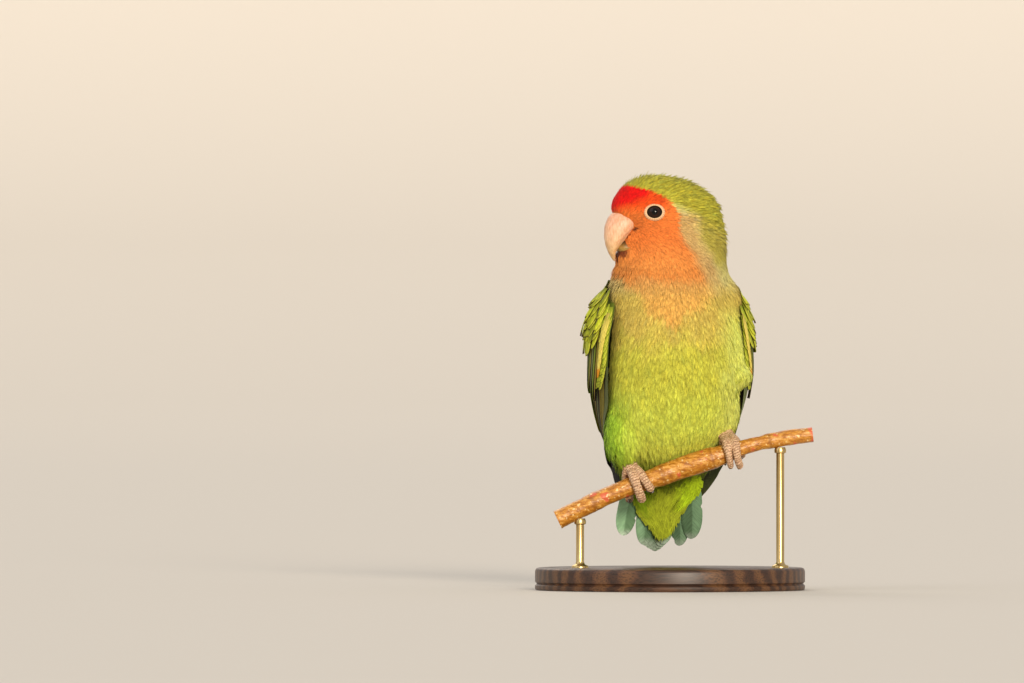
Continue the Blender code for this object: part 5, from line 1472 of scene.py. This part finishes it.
def scuted(mesh, lines, plate_length=0.95, depth=0.3, swell=0.22):
    """Rings of plates in relief along the nearest of some lines. Returns each point's height on its plate."""
    points, out = places(mesh), read(mesh.vertices, "normal")
    best, relief = np.full(len(points), np.inf), np.zeros(len(points))
    for line in lines:
        run = lengths_along(line)
        fine = np.linspace(0, run[-1], 240)
        path = np.stack([np.interp(fine, run, c) for c in line.T], 1)
        gap = np.linalg.norm(points[:, None] - path[None], axis=2)
        nearest, close = gap.argmin(1), gap.min(1)
        at = fine[nearest] / plate_length
        way, spoke = np.gradient(path, axis=0)[nearest], points - path[nearest]
        side_way = unit(np.cross(way, (0.0, -1.0, 0.3)))
        around = np.arctan2(dot(spoke, unit(np.cross(way, side_way))), dot(spoke, side_way))
        at = at + 0.25 * wander(points, 1.6, 21)
        cells = np.abs(np.cos(around * 3.5 + math.pi / 2 * np.floor(at))) ** 0.4
        height = np.abs(np.sin(math.pi * at)) ** 0.5 * (0.35 + 0.65 * cells)
        take = close < best
        best[take], relief[take] = close[take], height[take]
    put_places(mesh, points + out * (swell + depth * (relief - 0.6))[:, None])
    return relief


def gathered(points):
    """The front toes of the bird's left foot drawn together, as they grip the twig."""
    out = points.copy()
    ahead_of_twig = ease(-points[:, 1], -3.0, 2.0) * ease(60.0 - points[:, 2], 0.0, 9.0) * (points[:, 0] > 10)
    out[:, 0] -= ahead_of_twig * np.clip(0.5 + 0.24 * (points[:, 0] - 23.0), 0.3, 2.3)
    return out


for side, (foot_x, toes) in TOES.items():
    mesh = even_mesh(node_mesh(f"leg_{side}"), 0.25, 5)
    note(mesh, "plate", scuted(mesh, [toe_line(foot_x, toe) for toe in toes]))
    points = gathered(places(mesh))
    if side == "left":  # its top leans back, in under the feathers
        points[:, 1] += 5.0 * ease(points[:, 2], LEG_TOP, 64.0)
    put_places(mesh, points)
    finish_piece(f"foot_{side}", mesh, foot_finish, "foot_skin", f"leg_{side}")

# %% Claws
for side, _ in SIDES:
    names = [f"claw_{side}_{k}" for k in range(1, 5)]
    mesh = even_mesh(node_mesh(*names), 0.14, 5)
    put_places(mesh, gathered(places(mesh)))
    note(mesh, "claw_tone", 0.5 + 0.5 * wander(places(mesh), 0.8, 15))
    claw_horn = horn_finish(f"claw_horn_{side}", ((0.2, "#2c221b"), (0.8, "#5c4a3c")), 0.35, "claw_tone")
    finish_piece(f"claws_{side}", mesh, claw_horn, "claw", *names)

# %% [markdown]
# ## Perch
# The twig's bark is thin, satin and orange-brown, wrinkled along its length, with low rings where bud scars
# sit, small pale cork spots and a few reddish rubbed places. A grid is rolled into a tube along the axis
# and its points are pushed out by noise, so the relief is real and shows at the outline. The cut ends show
# wood.

# %% Bark and cut wood
bark, tree = empty_finish("satin_twig_bark")
where = add_node(tree, "TexCoord", out="Object")
long = add_node(tree, "Mapping", {"Vector": where, "Scale": (0.4, 1.0, 1.0),
                                  "Rotation": (0.0, math.radians(21), 0.0)})
mottle = add_node(tree, "TexNoise", {"Vector": long, "Scale": per_mm(1.2), "Detail": 6.0, "Roughness": 0.75})
tone = add_node(tree, "ValToRGB", {0: mottle},
                ((0.32, "#7c4510"), (0.44, "#a8691c"), (0.54, "#c58730"), (0.66, "#dfae5c")))
ring = add_node(tree, "Attribute", attribute_name="scar", out="Fac")
tone = add_node(tree, "Mix", {0: ring, 6: tone, 7: rgba("#7d4818")}, data_type="RGBA", out=2)
patches = add_node(tree, "TexNoise", {"Vector": where, "Scale": per_mm(6.0), "Detail": 1.0})
rub = add_node(tree, "MapRange", {0: patches, 1: 0.66, 2: 0.7})
tone = add_node(tree, "Mix", {0: rub, 6: tone, 7: rgba("#c8603a")}, data_type="RGBA", out=2)
dots = add_node(tree, "TexNoise", {"Vector": where, "Scale": per_mm(1.3), "Detail": 0.0})
cork = add_node(tree, "MapRange", {0: dots, 1: 0.71, 2: 0.78, 4: 0.7})
tone = add_node(tree, "Mix", {0: cork, 6: tone, 7: rgba("#f6dca0")}, data_type="RGBA", out=2)
fine = add_node(tree, "TexNoise", {"Vector": long, "Scale": per_mm(0.5), "Detail": 3.0})
relief = add_node(tree, "Bump", {"Height": fine, "Distance": 0.2 * MM, "Strength": 0.8})
shell = add_node(tree, "BsdfPrincipled", {"Base Color": tone, "Normal": relief, "Roughness": 0.34, "IOR": 1.5})
add_node(tree, "OutputMaterial", {"Surface": shell})

cut_wood, tree = empty_finish("cut_twig_wood")
ring = add_node(tree, "Attribute", attribute_name="ring", out="Fac")
turns = add_node(tree, "Math", {0: ring, 1: 42.0}, operation="MULTIPLY")
wave = add_node(tree, "Math", {0: turns}, operation="SINE")
tone = add_node(tree, "ValToRGB", {0: wave}, ((0.2, "#c9a878"), (0.8, "#e6cfa4")))
shell = add_node(tree, "BsdfPrincipled", {"Base Color": tone, "Roughness": 0.65, "IOR": 1.5})
add_node(tree, "OutputMaterial", {"Surface": shell})
print("bark and cut wood made")

# %% The twig, in relief
SCARS = (0.12, 0.34, 0.56, 0.84)  # shares of the twig's length at which bud scars sit
bm = bmesh.new()
bmesh.ops.create_grid(bm, x_segments=320, y_segments=72, size=1.0)
own = np.array([v.co for v in bm.verts])
share, around = (own[:, 0] + 1) / 2, (own[:, 1] + 1) * math.pi
middle, thick = perch_at(share)
toward, top = perch_ways(share, 0.005)
out_way = toward * np.cos(around)[:, None] + top * np.sin(around)[:, None]
shell = middle + out_way * thick[:, None]
scar = sum(np.exp(-(((share - s) / 0.006) ** 2)) for s in SCARS)
swollen = sum(np.exp(-(((share - s) / 0.02) ** 2)) for s in SCARS)
wrinkle = (wander(shell * (0.4, 1.0, 1.0), 0.8, 2) * 0.1 + wander(shell * (0.6, 1.0, 1.0), 2.2, 3) * 0.14
           + wander(shell, 9.0, 4) * 0.18)
thick = thick + 0.34 * swollen - 0.1 * scar + wrinkle
put_verts(bm, middle + out_way * thick[:, None])
scar_tag, ring_tag = bm.verts.layers.float.new("scar"), bm.verts.layers.float.new("ring")
for vert, value in zip(bm.verts, 0.55 * np.clip(scar, 0, 1)):
    vert[scar_tag] = value
bmesh.ops.remove_doubles(bm, verts=bm.verts, dist=0.002 * MM)
caps = bmesh.ops.holes_fill(bm, edges=[e for e in bm.edges if e.is_boundary], sides=0)["faces"]
caps = bmesh.ops.triangulate(bm, faces=caps)["faces"]
for face in caps:
    face.material_index = 1
for _ in range(2):
    inner = {e for f in caps for e in f.edges if all(x.material_index for x in e.link_faces)}
    bmesh.ops.subdivide_edges(bm, edges=list(inner), cuts=2)
    caps = [f for f in bm.faces if f.material_index == 1]
ends = perch_at(np.array([0.0, 1.0]))[0] * MM
for vert in {v for f in caps for v in f.verts}:
    vert[ring_tag] = min((vert.co - Vector(e)).length for e in ends) / (4 * MM)
bmesh.ops.recalc_face_normals(bm, faces=bm.faces)
mesh = to_mesh(bm)
mesh.materials.append(bark)
mesh.materials.append(cut_wood)
finish_piece("perch_twig", mesh, None, "bark", "perch")

# %% [markdown]
# ## Stand
# A turned wooden disc and two brass rods hold the perch. The disc is spun from half of its section, with a
# bead cut round its edge. Its grain runs straight through, as in a blank sawn from one board. The rods are
# drawn brass, brushed along their length, and sit in small turned collars.

# %% Walnut and brass
walnut, tree = empty_finish("oiled_walnut")
where = add_node(tree, "TexCoord", out="Object")
board = add_node(tree, "Mapping", {"Vector": where, "Scale": (0.1, 1.0, 1.0)})
grain = add_node(tree, "TexWave", {"Vector": board, "Scale": 60.0, "Distortion": 7.0, "Detail": 4.0,
                                   "Detail Scale": 1.2}, bands_direction="Y", out="Fac")
tone = add_node(tree, "ValToRGB", {0: grain}, ((0.15, "#3c2517"), (0.5, "#523420"), (0.9, "#644327")))
fibre = add_node(tree, "Mapping", {"Vector": where, "Scale": (0.06, 1.0, 1.0)})
pores = add_node(tree, "TexNoise", {"Vector": fibre, "Scale": per_mm(0.4), "Detail": 3.0})
shade = add_node(tree, "ValToRGB", {0: pores}, ((0.35, "#808080"), (0.55, "#ffffff")))
colour = add_node(tree, "Mix", {0: 0.8, 6: tone, 7: shade}, data_type="RGBA", blend_type="MULTIPLY", out=2)
relief = add_node(tree, "Bump", {"Height": pores, "Distance": 0.05 * MM, "Strength": 0.4})
shell = add_node(tree, "BsdfPrincipled", {"Base Color": colour, "Normal": relief, "Roughness": 0.42,
                                          "IOR": 1.5})
add_node(tree, "OutputMaterial", {"Surface": shell})

brass, tree = empty_finish("brushed_brass")
where = add_node(tree, "TexCoord", out="Object")
brushed = add_node(tree, "Mapping", {"Vector": where, "Scale": (1.0, 1.0, 0.02)})
lines = add_node(tree, "TexNoise", {"Vector": brushed, "Scale": per_mm(0.3), "Detail": 2.0})
tone = add_node(tree, "ValToRGB", {0: lines}, ((0.3, "#b89a5e"), (0.7, "#d9c08a")))
relief = add_node(tree, "Bump", {"Height": lines, "Distance": 0.01 * MM, "Strength": 0.5})
shell = add_node(tree, "BsdfPrincipled", {"Base Color": tone, "Normal": relief, "Metallic": 1.0,
                                          "Roughness": 0.3})
add_node(tree, "OutputMaterial", {"Surface": shell})
print("stand materials made")


# %% Base, rods and collars
def stand_mesh(profile, steps, x=0.0, y=0.0):
    """A turned solid, its profile in millimetres, with its sharp edges kept."""
    bm = spun([(r * MM, h * MM) for r, h in profile], steps)
    bmesh.ops.translate(bm, verts=bm.verts, vec=(x * MM, y * MM, 0.0))
    mesh = to_mesh(bm)
    mesh.shade_smooth()
    mesh.set_sharp_from_angle(angle=math.radians(38))
    return mesh


BASE = (  # radius and height
    (0, 0), (53.2, 0), (53.8, 0.25), (54, 0.8), (54, 1.9), (53.6, 2.2), (53.3, 2.6), (53.6, 3.0), (54, 3.3),
    (54, 7.4), (53.85, 8.1), (53.4, 8.7), (52.7, 8.95), (52.2, 9.0), (47.5, 9.0), (47.2, 8.8), (46.9, 9.0),
    (0, 9.0))
finish_piece("turned_base", stand_mesh(BASE, 160), walnut, "stand_wood", "stand_base", smooth=False)
for side, x in (("left", -36.0), ("right", 44.0)):
    middle, thick = perch_at(perch_share(x))
    top = middle[0, 2] - thick[0] - GAP
    rod = (
        (0, 8.9), (3.4, 8.9), (3.4, 9.5), (3.1, 9.9), (2.1, 10.3), (1.75, 10.9), (1.6, 11.4), (1.6, top - 2.4),
        (2.3, top - 2.1), (2.4, top - 1.0), (2.0, top + 0.1), (0, top + 0.1))
    finish_piece(f"brass_rod_{side}", stand_mesh(rod, 48, x, PERCH_Y), brass, "stand_metal",
                 f"stand_rod_{side}", smooth=False)

# %% [markdown]
# ## Camera, light and floor
# The photograph was taken from some way off with a long lens, level with the bird, so the camera stands 5.7
# m away with a 500 mm lens and looks straight ahead: 2.5 pixels are then one millimetre on the bird. A warm
# low light from almost behind the camera stands for the evening sun, softened as in a studio, a pale sky
# fills the shadows, and a weak light from behind shapes the back. The floor is a wide painted bowl, without
# a horizon.

# %% Camera
LENS, SENSOR, FRAME_WIDTH = 500.0, 36.0, 0.4096
AIM_X, AIM_Z = -0.0632, 0.0994  # what lies in the middle of the photograph
camera_data = bpy.data.cameras.new("long_lens")
camera_data.lens = LENS
camera_data.sensor_width = SENSOR
camera_data.clip_end = 100.0
camera = in_scene("camera", camera_data)
camera.location = (AIM_X, -FRAME_WIDTH * LENS / SENSOR, AIM_Z)
camera.rotation_euler = (math.radians(90), 0.0, 0.0)
bpy.context.scene.camera = camera
print("camera", -camera.location.y, "m away")

# %% Light
for name, way, power, code, soft in (("low_sun", (-0.22, 1.0, -0.24), 3.05, "#fff0dc", 14.0),
                                     ("side_sky", (0.9, 0.5, -0.7), 0.45, "#f4f4ff", 50.0),
                                     ("back_light", (0.3, -0.9, -0.8), 0.9, "#fff6ea", 40.0)):
    data = bpy.data.lights.new(name, "SUN")
    data.energy = power
    data.color = linear(code)
    data.angle = math.radians(soft)
    lamp = in_scene(name, data)
    lamp.rotation_euler = Vector(way).to_track_quat("-Z", "Y").to_euler()
world = bpy.data.worlds.new("studio")
world.use_nodes = True
world.node_tree.nodes["Background"].inputs["Color"].default_value = rgba("#e2dfda")
world.node_tree.nodes["Background"].inputs["Strength"].default_value = 0.75
bpy.context.scene.world = world
bpy.context.scene.view_settings.view_transform = "Standard"
print("lamps and sky made")

# %% Floor
BOWL = ((0, 0), (7.0, 0.0), (8.2, 0.04), (9.2, 0.2), (9.8, 0.5), (10.0, 1.0))  # radius and height, in metres
floor_mesh = to_mesh(spun(BOWL, 96), "floor")
floor_mesh.shade_smooth()
paint, tree = empty_finish("matt_pale_paint")
shell = add_node(tree, "BsdfPrincipled", {"Base Color": rgba("#cfc9c0"), "Roughness": 0.9})
add_node(tree, "OutputMaterial", {"Surface": shell})
floor_mesh.materials.append(paint)
floor = in_scene("floor", floor_mesh)
